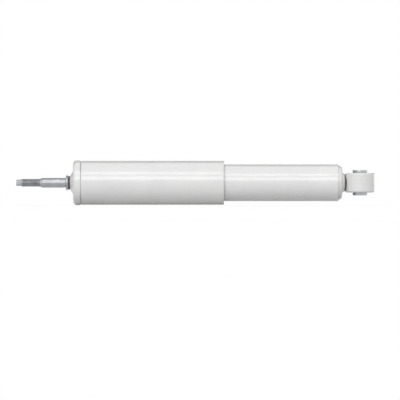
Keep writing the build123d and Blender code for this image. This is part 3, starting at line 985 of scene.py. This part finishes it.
# %% The outline of the bar
SMALL = 0.3 * MM            # the rounding of most turned and cut edges
END_ROUND = 0.5 * MM
FIT = 0.02 * MM             # room between two pieces that touch
SHEET = 1.8 * MM            # thickness of the cap
SPIGOT_R = 5.0 * MM         # the end that holds the piston
GROOVE_HALF = 0.8 * MM      # the groove of the rebound stop's ring
RINGS_PER_TURN = 14
land_r = turned_size("seat_collar")[2] - FIT
land_end = cap_start + SHEET
spigot_start = turned_size("valve_stop_washer")[0]
stop_start, stop_end, stop_bore, _ = turned_size("rebound_stop_ring")
groove_start = (stop_start + stop_end) / 2 - GROOVE_HALF
groove_end = (stop_start + stop_end) / 2 + GROOVE_HALF
groove_r = stop_bore - FIT
ring_step = PITCH / RINGS_PER_TURN
ring_count = int((thread_end - thread_start - 2 * SMALL) / ring_step)
bar_outline = [
    (rod_start, 0), (rod_start, TIP_R, END_ROUND), (tip_end, TIP_R, SMALL), (thread_start, thread_r, SMALL),
    *[(thread_start + SMALL + ring_step * k, thread_r) for k in range(1, ring_count)],
    (thread_end, thread_r, SMALL), (shank_start, shank_r, SMALL), (shank_end, shank_r), (shank_end, land_r),
    (land_end, land_r), (land_end, rod_r), (groove_start, rod_r), (groove_start, groove_r),
    (groove_end, groove_r), (groove_end, rod_r), (spigot_start, rod_r, SMALL), (spigot_start, SPIGOT_R),
    (rod_end, SPIGOT_R, END_ROUND), (rod_end, 0),
]
print("bar", round((rod_end - rod_start) / MM, 1), "mm long,", ring_count, "rings for the thread")

# %% Turn the bar and cut its thread
bar = lathe("stud_and_rod", bar_outline, longest_run=2.5 * MM, segments=96)
bar = run_tree(bar, thread_tree, Start=thread_start, End=thread_end, Pitch=PITCH, Depth=TOOTH,
               Run_out=RUN_OUT, Flat_end=tip_end, Across_flats=TIP_FLATS, Material=rod_metal)
stand_for(bar, "piston_rod")

# %% [markdown]
# ## The seat collar
# The washers of the upper mount bear on a turned collar under the shank. It is a flange with a narrower
# hub, which the weld runs round. A cylinder with a bevel could stand in for it, but the step between flange
# and hub is what throws the shadow there, so its outline goes on the lathe.

# %% Collar
collar_start, collar_end, collar_bore, collar_r = turned_size("seat_collar")
FLANGE = 3.4 * MM
FLANGE_ROUND = 1.8 * MM
COLLAR_EDGE = 0.4 * MM
HUB_R = 7.0 * MM
HUB_ROUND = 0.2 * MM
flange_end = collar_start + FLANGE
collar = lathe("seat_collar_turned", [
    (collar_start, collar_bore), (collar_start, collar_r, COLLAR_EDGE), (flange_end, collar_r, FLANGE_ROUND),
    (flange_end, HUB_R, HUB_ROUND), (collar_end, HUB_R), (collar_end, collar_bore),
], longest_run=1 * MM, segments=96)
stand_for(collar, "seat_collar")

# %% [markdown]
# ## The dust cap
# The cap is pressed from thick sheet: a raised cone in the middle, a flat, and a rounded shoulder that ends
# in a short skirt. A single surface with Solidify could make it, but where the sheet bends tighter than it
# is thick, an offset folds over itself. So the outline has both sides, each with its own radii, and the
# inside is right too where a view along the dust tube shows it.

# %% Cap
LAND_R = 6.9 * MM           # the flat round the hole
LEAST_LAND = 0.1 * MM
CONE_R = 14.8 * MM
CONE_RISE = 4.65 * MM
CONE_ROUND = 1.2 * MM
SHOULDER = 3.8 * MM
HOLE_ROUND = 0.2 * MM
LAND_ROUND = 0.8 * MM


def inner_step(sheet, run, rise):
    """How far the inner corners of a pressed cone lie nearer to the axis than the outer ones."""
    turn = math.pi / 2 - math.atan2(run, rise)
    return sheet * math.tan(turn / 2)


cap_face = cap_start + CONE_RISE
cone_step = inner_step(SHEET, CONE_R - LAND_R, CONE_RISE)
inner_land = max(LAND_R - cone_step, cap_bore + LEAST_LAND)
cap = lathe("dust_cap_pressed", [
    (cap_start, cap_bore, HOLE_ROUND), (cap_start, LAND_R, LAND_ROUND), (cap_face, CONE_R, CONE_ROUND),
    (cap_face, cap_r, SHOULDER), (cap_end, cap_r, SMALL), (cap_end, cap_r - SHEET, SMALL),
    (cap_face + SHEET, cap_r - SHEET, SHOULDER - SHEET),
    (cap_face + SHEET, CONE_R - cone_step, CONE_ROUND + SHEET),
    (cap_start + SHEET, inner_land), (cap_start + SHEET, cap_bore),
], longest_run=1.5 * MM, arc_steps=10)
stand_for(cap, "dust_cap")

# %% [markdown]
# ## The dust tube
# The dust tube is thin drawn steel. It is necked down where it enters the cap's skirt, and open at its
# other end. A cylinder with a bevelled step could make it, but wear and dirt are kept on the mesh's points,
# and a plain cylinder has none between its ends. So it comes from the lathe too, with a ring of points
# every few millimetres.

# %% Dust tube
tube_start, tube_end, tube_bore, tube_r = turned_size("dust_tube")
WALL = 1.2 * MM
TAPER = 1.2 * MM            # length of the step from neck to tube
NECK_ROUND = 0.6 * MM       # on the hollow side of a bend, and the next one on its full side
FULL_ROUND = 0.9 * MM
NECK_EDGE = 0.2 * MM
MOUTH_ROUND = 0.7 * MM
neck_r = tube_bore + WALL
taper_end = cap_end + TAPER
dust_tube = lathe("dust_tube_drawn", [
    (tube_start, tube_bore, NECK_EDGE), (tube_start, neck_r, NECK_EDGE), (cap_end, neck_r, NECK_ROUND),
    (taper_end, tube_r, FULL_ROUND), (tube_end, tube_r, MOUTH_ROUND), (tube_end, tube_r - WALL, SMALL),
    (taper_end, tube_r - WALL, NECK_ROUND), (cap_end, tube_bore, FULL_ROUND),
], longest_run=3 * MM)
stand_for(dust_tube, "dust_tube")

# %% [markdown]
# ## The reservoir tube
# The outer tube of the cylinder holds the oil. Its wall is thicker, and it is rolled in over the seal at
# the end that slides in the dust tube. At the other end the end cap sits in it, and the joint shows as a
# dark line, the shade of a fine gap with a little dirt. The gap could be a groove in the mesh, but it is
# finer than a groove can be without many faces. So the inner edge is only rounded, and the seam attribute
# paints the gap's shade into the paint there.

# %% Reservoir
res_start, res_end, lip_r, res_r = turned_size("reservoir_tube")
RES_WALL = 1.75 * MM
RES_CORNER = 3.0 * MM
LIP_ROUND = 0.4 * MM
RES_EDGE = 0.5 * MM
SEAM_ROUND = 0.6 * MM
res_bore = res_r - RES_WALL
end_seam = (res_end, res_bore)
reservoir = lathe("reservoir_drawn", [
    (res_start, lip_r, LIP_ROUND), (res_start, res_r, RES_CORNER), (res_end, res_r, RES_EDGE),
    (res_end, res_bore, SEAM_ROUND), (res_start + RES_WALL, res_bore, RES_CORNER - RES_WALL),
    (res_start + RES_WALL, lip_r, LIP_ROUND),
], longest_run=3 * MM, arc_steps=8, seams=[end_seam])
stand_for(reservoir, "reservoir_tube")

# %% [markdown]
# ## The end cap
# The cylinder is closed by a pressed cap with a rounded corner and a raised boss, which the eye is welded
# to. It could be one surface with Solidify, but as with the dust cap both sides are in the outline. Three
# extra points where it leaves the tube carry the painted shade of the seam.

# %% End cap
end_start, end_end, _, end_r = turned_size("bottom_cap")
END_SHEET = 2.5 * MM
END_CORNER = 3.7 * MM
BOSS_RISE = 3.15 * MM
BOSS_FACE_R = 10.4 * MM
BOSS_BASE_R = 12.9 * MM
FACE_ROUND = 1.0 * MM
BASE_ROUND = 0.8 * MM
END_EDGE = 0.4 * MM
INNER_BASE_ROUND = 1.0 * MM
INNER_FACE_ROUND = 0.5 * MM
end_face = end_end - BOSS_RISE
boss_step = inner_step(END_SHEET, BOSS_BASE_R - BOSS_FACE_R, BOSS_RISE)
seam_points = [(res_end + SEAM_REACH, end_r), (res_end, end_r), (res_end - SEAM_REACH, end_r)]
end_cap = lathe("end_cap_pressed", [
    (end_end, 0), (end_end, BOSS_FACE_R, FACE_ROUND), (end_face, BOSS_BASE_R, BASE_ROUND),
    (end_face, end_r, END_CORNER), *seam_points,
    (end_start, end_r, END_EDGE), (end_start, end_r - END_SHEET, END_EDGE),
    (end_face - END_SHEET, end_r - END_SHEET, END_CORNER - END_SHEET),
    (end_face - END_SHEET, BOSS_BASE_R - boss_step, INNER_BASE_ROUND),
    (end_end - END_SHEET, BOSS_FACE_R - boss_step, INNER_FACE_ROUND), (end_end - END_SHEET, 0),
], longest_run=1.5 * MM, arc_steps=10, seams=[end_seam])
stand_for(end_cap, "bottom_cap")

# %% [markdown]
# ## The eye ring
# A thick ring holds the rubber bush. Its bore is narrowest in the middle, so that the bush can't creep out,
# and it closes a little again at its mouths. A Boolean could cut it out of a cylinder, but the waist is an
# arc, and a formula gives its points with clean faces. The rubber uses the same line a hair further in.
# Ring, bush and sleeve are turned about the eye's own axis, Z.

# %% Ring
eye_low, eye_high, waist_r, eye_r = turned_size("eye_ring", axis=2)
MOUTH_R = 14.2 * MM
WIDE_R = 14.6 * MM          # the bore where it is widest
WIDE_Z = 8.5 * MM           # and how far above and below its middle that is
RIM_ROUND = 2.2 * MM
MOUTH_EDGE = 0.5 * MM
WAIST_STEPS = 16


def bore_line(gap):
    """Outline of the ring's bore from its upper to its lower mouth, with a gap to the ring."""
    waist = waist_r - gap
    sag = WIDE_R - gap - waist
    arc_r = (WIDE_Z * WIDE_Z + sag * sag) / (2 * sag)
    places = [WIDE_Z * (1 - 2 * k / WAIST_STEPS) for k in range(WAIST_STEPS + 1)]
    return [(z, waist + arc_r - math.sqrt(arc_r * arc_r - z * z)) for z in places]


eye_ring = lathe("eye_ring_turned", [
    (eye_low, MOUTH_R, MOUTH_EDGE), (eye_low, eye_r, RIM_ROUND), (eye_high, eye_r, RIM_ROUND),
    (eye_high, MOUTH_R, MOUTH_EDGE), *bore_line(gap=0),
], longest_run=1.5 * MM, axis="Z", arc_steps=8)
stand_for(eye_ring, "eye_ring")

# %% [markdown]
# ## The rubber bush
# The bush is squeezed in between ring and sleeve. Its faces swell a little, with a soft groove beside each
# of the two, as moulded bushes have. A cloth or soft-body simulation could swell it, but the shape is round
# and known, so its outline has the swelling and the grooves, and both faces come from one function.

# %% Bush
bush_low, bush_high, bush_bore, _ = turned_size("rubber_bush", axis=2)
GROOVE = 0.8 * MM           # depth of the grooves
INNER_GROOVE = 0.7 * MM     # widths of their floors
OUTER_GROOVE = 0.8 * MM
SWELL_HALF = 0.6 * MM
SWELL_ROUND = 1.0 * MM
bush_r = MOUTH_R - FIT
swell_r = (bush_bore + bush_r) / 2


def bush_face(face, inwards):
    """Outline of one face of the rubber, from the sleeve to the ring. inwards is 1 or -1 along Z."""
    floor = face + inwards * GROOVE
    return [
        (floor, bush_bore), (floor, bush_bore + INNER_GROOVE, SMALL),
        (face, swell_r - SWELL_HALF, SWELL_ROUND), (face, swell_r + SWELL_HALF, SWELL_ROUND),
        (floor, bush_r - OUTER_GROOVE, SMALL),
    ]


bush_outline = bush_face(bush_low, 1) + bore_line(FIT)[::-1] + bush_face(bush_high, -1)[::-1]
bush = lathe("rubber_bush_moulded", bush_outline, longest_run=1 * MM, axis="Z")
stand_for(bush, "rubber_bush")

# %% [markdown]
# ## The sleeve
# A steel sleeve goes through the rubber and stands proud of it, so that a bracket clamps the sleeve and
# never the rubber. It is a plain turned tube with well rounded ends, which catch the light. A cylinder with
# a Bevel modifier would look the same, but the lathe is at hand and takes its sizes from the solid.

# %% Sleeve
sleeve_low, sleeve_high, bolt_r, sleeve_r = turned_size("inner_sleeve", axis=2)
BOLT_EDGE = 0.4 * MM
SLEEVE_EDGE = 0.8 * MM
sleeve = lathe("inner_sleeve_turned", [
    (sleeve_low, bolt_r, BOLT_EDGE), (sleeve_low, sleeve_r, SLEEVE_EDGE),
    (sleeve_high, sleeve_r, SLEEVE_EDGE), (sleeve_high, bolt_r, BOLT_EDGE),
], longest_run=1.5 * MM, axis="Z", segments=96)
stand_for(sleeve, "inner_sleeve", sleeve_zinc)

# %% [markdown]
# ## The two welds
# A weld bead is a row of small overlapping pools that froze one after another. It could be sculpted, but
# the pools follow a rule. The tree sweeps a round section along a closed path and swells it by a saw-shaped
# ripple, which lags at the sides as a frozen pool does. A little noise makes it hand-made, and a seed keeps
# the noise the same each time.

# %% How far the bead swells at each point
LAG = 0.5                   # how many ripples the sides of a pool lag behind its middle
STEEPNESS = 0.6             # under 1, a pool rises sooner than it falls
PATH_LEVEL = 0.6            # the part of the swelling that lies at the section's own radius
WOBBLE_SCALE = 420.0
BEAD_SIDES = 20


def ripple(given, share, normal):
    """How far a point moves out: a ripple for each pool, and an uneven part."""
    wave = maths("FRACT", share * given["Ripples"] + maths("ABSOLUTE", split(normal)[0]) * LAG)
    swell = maths("SINE", maths("POWER", wave, STEEPNESS) * math.pi)
    wobble = share.tree.nodes.new("ShaderNodeTexNoise")
    wobble.noise_dimensions = "4D"
    feed(WOBBLE_SCALE, wobble.inputs["Scale"])
    feed(given["Seed"], wobble.inputs["W"])
    uneven = (Signal(wobble, "Fac") - 0.5) * given["Unevenness"]
    return (swell - PATH_LEVEL) * given["Ripple depth"] + uneven


print("a pool's sides lag by", LAG, "of a ripple")


# %% The tree that makes a rippled bead
def rippled_bead():
    """Sweeps a round section along a closed curve, and ripples it."""
    tree, given, result = new_tree("Geometry", "rippled_bead", [
        GEOMETRY, ("Radius", "Float"), ("Ripples", "Int"), ("Ripple depth", "Float"), ("Unevenness", "Float"),
        ("Seed", "Float"), ("Steps", "Int"), ("Material", "Material"),
    ], [GEOMETRY])
    even = place_node(tree, "GeometryNodeResampleCurve", Curve=given["Geometry"], Count=given["Steps"])
    kept = tree.nodes.new("GeometryNodeCaptureAttribute")
    kept.capture_items.new("FLOAT", "Share")
    feed(Signal(even), kept.inputs["Geometry"])
    feed(Signal(tree.nodes.new("GeometryNodeSplineParameter"), "Factor"), kept.inputs["Share"])
    section = place_node(tree, "GeometryNodeCurvePrimitiveCircle", Resolution=BEAD_SIDES,
                         Radius=given["Radius"])
    swept = place_node(tree, "GeometryNodeCurveToMesh", Curve=Signal(kept, "Geometry"),
                       Profile_Curve=Signal(section))
    normal = Signal(tree.nodes.new("GeometryNodeInputNormal"))
    outwards = tree.nodes.new("ShaderNodeVectorMath")
    outwards.operation = "SCALE"
    feed(normal, outwards.inputs[0])
    feed(ripple(given, Signal(kept, "Share"), normal), outwards.inputs["Scale"])
    rippled = place_node(tree, "GeometryNodeSetPosition", Geometry=Signal(swept), Offset=Signal(outwards))
    end_tree(shaded_smooth(Signal(rippled)), given, result)
    return tree


bead_tree = rippled_bead()
print(bead_tree.name, "nodes", len(bead_tree.nodes))

# %% Lay a bead along a closed path
RIPPLES = 30                # pools in each bead
STEPS_PER_RIPPLE = 10
PATH_STEPS = 96
around = [2 * math.pi * k / PATH_STEPS for k in range(PATH_STEPS)]


def bead(name, path, radius, depth, unevenness, seed):
    """Rippled bead along a closed list of (point, share of the radius)."""
    curve = bpy.data.curves.new(name, "CURVE")
    curve.dimensions = "3D"
    spline = curve.splines.new("POLY")
    spline.points.add(len(path) - 1)
    for point, (place, share) in zip(spline.points, path):
        point.co = (*place, 1.0)
        point.radius = share
    spline.use_cyclic_u = True
    return run_tree(add_object(name, curve), bead_tree, Radius=radius, Ripples=RIPPLES, Ripple_depth=depth,
                    Unevenness=unevenness, Seed=seed, Steps=RIPPLES * STEPS_PER_RIPPLE,
                    Material=finishes["weld_bead"])


print("a path has", len(around), "points")

# %% [markdown]
# ## The weld under the collar
# The collar is welded to the cap all round. Its path could follow an edge of the collar, but the bead is a
# plain circle, so it is worked out from the solid weld that stands there: at about the middle of its
# length, just outside its inner radius.

# %% Bead under the collar
weld_start, weld_end, weld_inner, _ = turned_size("collar_weld")
TOWARDS_STUD = 0.1 * MM     # where the bead's middle line lies in the solid
OFF_HUB = 0.25 * MM
bead_x = (weld_start + weld_end) / 2 - TOWARDS_STUD
bead_r = weld_inner + OFF_HUB
collar_path = [((bead_x, bead_r * math.cos(angle), bead_r * math.sin(angle)), 1.0) for angle in around]
collar_bead = bead("collar_bead", collar_path, radius=1.0 * MM, depth=0.14 * MM, unevenness=0.22 * MM,
                   seed=3.0)
stand_for(collar_bead, "collar_weld")

# %% [markdown]
# ## The weld of the eye
# Where the round ring meets the flat boss, the seam is a saddle: at its two sides it follows the ring away
# from the boss. A plain circle would leave the ring there. The gap to fill grows too, so the bead is fuller
# at its sides. It lies over a solid pad, which stays and fills the middle. So it rides on the pad's body
# and replaces nothing.

# %% Bead between end cap and ring
pad = points_of("eye_weld")
pad_start = pad[:, 0].min()
pad_y = pad[:, 1].max()
pad_z = pad[:, 2].max()
LEAST_FULL = 0.55           # share of the radius where the gap is nothing
FULL_PER_MM = 0.38          # what each millimetre of half the gap adds to it


def saddle(angle):
    """A point of the seam, and how full the bead is there."""
    y = pad_y * math.cos(angle)
    z = pad_z * math.sin(angle)
    on_ring = -math.sqrt(eye_r * eye_r - y * y)
    half = (on_ring - pad_start) / 2
    return (pad_start + half, y, z), LEAST_FULL + half / MM * FULL_PER_MM


eye_path = [saddle(angle) for angle in around]
eye_bead = bead("eye_bead", eye_path, radius=1.3 * MM, depth=0.15 * MM, unevenness=0.26 * MM, seed=8.0)
print("seam, half width and half height", round(pad_y / MM, 2), round(pad_z / MM, 2))
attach(eye_bead, "cylinder")

# %% [markdown] ## The valve springs Four small springs inside hold the valve plates shut, and each gets
# shorter when its plate lifts. Two are coils of round wire with their ends ground flat. Two are dished
# rings of thin strip with a notched rim. Here each is made at its full length, and the share of that length
# which it keeps at full lift is printed.

# %% A spring in its solid's place
lift_of = {joint["name"]: abs(joint["range_m"][1]) for joint in frame["record"]["behaviour"]["joints"]
           if joint["name"].endswith("_lift")}
print("lifts in mm", {name: round(lift / MM, 2) for name, lift in lift_of.items()})


def press(spring, node, joint, low, high):
    """The spring stands for its solid and gets a mesh of its own. What share of it stays at full lift is
    printed.
    """
    stand_for(spring, node)
    keep = (high - low - lift_of[joint]) / (high - low)
    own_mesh(spring)
    print(spring.name, "length", round((high - low) / MM, 2), "keeps", round(keep, 3))


# %% [markdown]
# ## The two coils
# A coil is a helix of round wire. A Screw modifier could wind it, but a spiral curve with a round section
# takes its sizes from a tree's named inputs. The ends of a real one are ground so that it stands square.
# The tree lets the wire reach past both ends by the part that is ground off, and then holds every point
# between the two faces, which flattens it there.

# %% The tree that winds a coil and grinds its ends
GROUND_OFF = 0.18           # share of the wire that is ground off at each end
TURN_STEPS = 40
WIRE_SIDES = 18


def wound_coil():
    """Winds a coil of round wire along X, and grinds its ends flat."""
    tree, given, result = new_tree("Geometry", "ground_coil", [
        GEOMETRY, ("Start", "Float"), ("End", "Float"), ("Mean radius", "Float"), ("Wire", "Float"),
        ("Turns", "Float"), ("Material", "Material"),
    ], [GEOMETRY])
    start, end, wire = given["Start"], given["End"], given["Wire"]
    ground_off = wire * GROUND_OFF
    spiral = place_node(tree, "GeometryNodeCurveSpiral", Resolution=TURN_STEPS, Rotations=given["Turns"],
                        Start_Radius=given["Mean radius"], End_Radius=given["Mean radius"],
                        Height=end - start - (wire - ground_off * 2.0))
    first = place_node(tree, "ShaderNodeCombineXYZ", X=start + (wire * 0.5 - ground_off))
    laid = place_node(tree, "GeometryNodeTransform", Geometry=Signal(spiral), Translation=Signal(first),
                      Rotation=UPRIGHT)
    section = place_node(tree, "GeometryNodeCurvePrimitiveCircle", Resolution=WIRE_SIDES, Radius=wire * 0.5)
    wound = place_node(tree, "GeometryNodeCurveToMesh", Curve=Signal(laid), Profile_Curve=Signal(section),
                       Fill_Caps=True)
    x, y, z = point_places(tree)
    held = maths("MINIMUM", maths("MAXIMUM", x, start), end)
    end_tree(shaded_smooth(move_to(Signal(wound), held, y, z)), given, result)
    return tree


coil_tree = wound_coil()
print(coil_tree.name, "nodes", len(coil_tree.nodes))


# %% Coils
def ground_coil(name, node, joint, wire, turns):
    """A coil in the place of its solid. In the damper it is pressed from its start, and its far end stays."""
    low, high, _, reach = turned_size(node)
    coil = run_tree(add_object(name, bpy.data.meshes.new(name)), coil_tree, Start=low, End=high,
                    Mean_radius=reach - wire / 2, Wire=wire, Turns=turns, Material=finishes["spring_steel"])
    press(coil, node, joint, low, high)


ground_coil("rebound_coil", "rebound_spring", "rebound_valve_lift", wire=2.2 * MM, turns=3.0)
ground_coil("foot_coil", "foot_compression_spring", "foot_compression_lift", wire=1.2 * MM, turns=2.5)

# %% [markdown]
# ## The two dished rings
# A dished ring is a shallow cone of thin strip. Its wide rim has round notches, so that oil can pass and
# the ring bends more easily. Cutting the notches with a Boolean leaves ragged faces. The lathe turns the
# cone with many segments instead, and the tree pulls the points of the rim in along the cone wherever a
# notch bites.


# %% The tree that cuts a row of round notches into a dished rim
def notched_rim():
    """Cuts a row of round notches into the outer rim of a cone."""
    tree, given, result = new_tree("Geometry", "notched_rim", [
        GEOMETRY, ("Inner radius", "Float"), ("Outer radius", "Float"), ("Rise", "Float"),
        ("Notches", "Int"), ("Notch radius", "Float"), ("Material", "Material"),
    ], [GEOMETRY])
    inner_r, outer_r, notch_r = given["Inner radius"], given["Outer radius"], given["Notch radius"]
    along, across, up = point_places(tree)
    radius = off_axis(across, up)
    step = 2 * math.pi / given["Notches"]
    off_notch = maths("PINGPONG", maths("ARCTAN2", up, across), step * 0.5)
    beside = off_notch * outer_r
    bite = maths("SQRT", maths("MAXIMUM", notch_r * notch_r - beside * beside, 0.0))
    width = outer_r - inner_r
    inward = (radius - inner_r) / width * bite * -1.0
    shrink = (radius + inward) / radius
    slope = given["Rise"] / width
    end_tree(move_to(given["Geometry"], along + inward * slope, across * shrink, up * shrink), given, result)
    return tree


rim_tree = notched_rim()
print(rim_tree.name, "nodes", len(rim_tree.nodes))

# %% Dished rings
STRIP = 0.3 * MM
NOTCHES = 6
NOTCH_R = 1.2 * MM


def dished_ring(name, node, joint):
    """A notched ring, narrow at its low end. In the damper the plate presses its wide end, and its narrow end
    stays.
    """
    low, high, narrow, wide = turned_size(node)
    cone = lathe(name, [(low, narrow), (high - STRIP, wide), (high, wide), (low + STRIP, narrow)],
                 longest_run=0.5 * MM, segments=240)
    ring = run_tree(cone, rim_tree, Inner_radius=narrow, Outer_radius=wide, Rise=high - low - STRIP,
                    Notches=NOTCHES, Notch_radius=NOTCH_R, Material=finishes["spring_steel"])
    press(ring, node, joint, low, high)


dished_ring("check_ring", "check_spring", "check_valve_lift")
dished_ring("intake_ring", "foot_intake_spring", "foot_intake_lift")

# %% [markdown]
# ## The floor
# The reference is drawn on a white sheet. A floor that is white by much light would wash the part out. So
# the floor is grey to the light that bounces, and a little glow is added only where it is looked at,
# straight or in a mirror. It keeps the part's soft shadow, and from below it is clear, so that it hides
# nothing.


# %% Seen or only lit
def seen_directly(tree):
    """1 for camera, glossy and transmission rays, and 0 for the rays that carry light."""
    rays = tree.nodes.new("ShaderNodeLightPath")
    either = maths("MAXIMUM", Signal(rays, "Is Camera Ray"), Signal(rays, "Is Glossy Ray"))
    return maths("MAXIMUM", either, Signal(rays, "Is Transmission Ray"))


print("looked at: camera, glossy and transmission rays")

# %% The finish of the floor
FLOOR_GLOW = 0.45


def floor_finish():
    """Pale and dull. Its back is clear."""
    paint = Finish("floor_paint")
    colour = paint.use(mottle, Colour=rgba(0.58, 0.58, 0.58), Second_colour=rgba(0.56, 0.56, 0.56),
                       Scale=3.0)
    paint.set(Base_Color=colour, Roughness=0.9, Emission_Color=rgba(1, 1, 1),
              Emission_Strength=seen_directly(paint.tree) * FLOOR_GLOW)
    one_sided = paint.tree.nodes.new("ShaderNodeMixShader")
    feed(Signal(paint.tree.nodes.new("ShaderNodeNewGeometry"), "Backfacing"), one_sided.inputs[0])
    feed(Signal(paint.shader), one_sided.inputs[1])
    feed(Signal(paint.tree.nodes.new("ShaderNodeBsdfTransparent")), one_sided.inputs[2])
    feed(Signal(one_sided), paint.tree.nodes["Material Output"].inputs["Surface"])
    return paint.material


floor_paint = floor_finish()
print("floor glow", FLOOR_GLOW)


# %% Floor
def four_corners(name, corners, material):
    """An object with a single face between four corners."""
    mesh = bpy.data.meshes.new(name)
    mesh.from_pydata(corners, [], [(0, 1, 2, 3)])
    mesh.materials.append(material)
    return add_object(name, mesh)


FLOOR_HALF = 4.0
FLOOR_GAP = 0.3 * MM
floor_z = cad_low.z - FLOOR_GAP
floor_corners = [(-FLOOR_HALF, -FLOOR_HALF, floor_z), (FLOOR_HALF, -FLOOR_HALF, floor_z),
                 (FLOOR_HALF, FLOOR_HALF, floor_z), (-FLOOR_HALF, FLOOR_HALF, floor_z)]
floor = four_corners("floor", floor_corners, floor_paint)
print("floor at", round(floor_z, 5))

# %% [markdown]
# ## The sky
# A white world that also lights the part from all sides would leave the pale paint without shading. Light
# Path tells the two uses apart: the world has full strength where it is looked at, and less as light.

# %% World: white where it is looked at, dimmer as light
SKY_LIGHT = 0.42
world = bpy.data.worlds.new("white_sheet")
scene.world = world
world.use_nodes = True
background = world.node_tree.nodes["Background"]
feed(rgba(1, 1, 1), background.inputs["Color"])
feed(seen_directly(world.node_tree) * (1.0 - SKY_LIGHT) + SKY_LIGHT, background.inputs["Strength"])
print("sky as light", SKY_LIGHT)

# %% [markdown]
# ## The lamps
# A studio lights a part with large soft boxes. Area lamps would light the far end of a long part less, so
# two wide suns stand in for the boxes: a key from above and in front, and a weaker one from behind.


# %% Two soft lamps
def soft_sun(name, from_direction, strength, width):
    """A lamp at infinity, so many degrees wide, that shines from this direction."""
    data = bpy.data.lights.new(name, "SUN")
    data.energy = strength
    data.angle = math.radians(width)
    add_object(name, data).rotation_euler = Vector(from_direction).to_track_quat("Z", "Y").to_euler()
    print(name, "strength", strength)


soft_sun("key_light", from_direction=(-0.20, -0.88, 0.66), strength=1.70, width=46)
soft_sun("back_light", from_direction=(0.50, 0.75, 0.60), strength=0.60, width=75)

# %% [markdown]
# ## The dark cards
# In an all-white room a shiny part has no outline. Photographers stand black cards beside the part, and
# these do the same: they show only as reflections, and draw dark edges along the tubes and the stud.

# %% Cards
card_paint = Finish("dark_card")
card_paint.set(Base_Color=rgba(0.03, 0.03, 0.03), Roughness=0.9)
CARD_HALF = 1.5
middle_x = (cad_low.x + cad_high.x) / 2


def dark_card(name, lower_edge, upper_edge):
    """A card between two level edges, each given by its Y and Z."""
    left, right = middle_x - CARD_HALF, middle_x + CARD_HALF
    card = four_corners(name, [(left, *lower_edge), (right, *lower_edge), (right, *upper_edge),
                               (left, *upper_edge)], card_paint.material)
    card.visible_camera = False
    card.visible_diffuse = False
    card.visible_shadow = False
    card.visible_transmission = False
    print(name, "from", lower_edge, "to", upper_edge)


dark_card("card_behind", lower_edge=(1.2, 0.10), upper_edge=(1.2, 1.90))
dark_card("card_in_front", lower_edge=(-1.2, 0.75), upper_edge=(-1.0, 1.05))

# %% [markdown]
# ## The camera
# The drawing is a side view with no perspective. An orthographic camera would match it exactly, but shows
# no depth from other sides. So the camera stands far off with a very long lens, level with the drawing's
# middle, and looks straight along +Y. Two measures place it: the row of pixels that the middle of the tubes
# lies on, and the column that the middle of the eye lies on.

# %% Camera
PX = 1.2275 * MM            # one pixel of the reference
VIEW_PIXELS = 400
AXIS_ROW = 182.83           # the middle of the tubes, in pixels from the top
EYE_COLUMN = 359.91         # the middle of the eye, in pixels from the left
LENS = 400.0
SENSOR = 36.0
distance = VIEW_PIXELS * PX * LENS / SENSOR
camera_data = bpy.data.cameras.new("camera")
camera_data.lens = LENS
camera_data.sensor_width = SENSOR
camera_data.clip_start = 0.1
camera_data.clip_end = 50.0
camera = add_object("camera", camera_data)
camera.location = ((VIEW_PIXELS / 2 - EYE_COLUMN) * PX, -distance, (AXIS_ROW - VIEW_PIXELS / 2) * PX)
camera.rotation_euler = (math.radians(90), 0, 0)
scene.camera = camera
scene.view_settings.view_transform = "Standard"
print("camera at", tuple(camera.location))

# %% [markdown] ## Sizes and finish Dressing must not change the part's size.
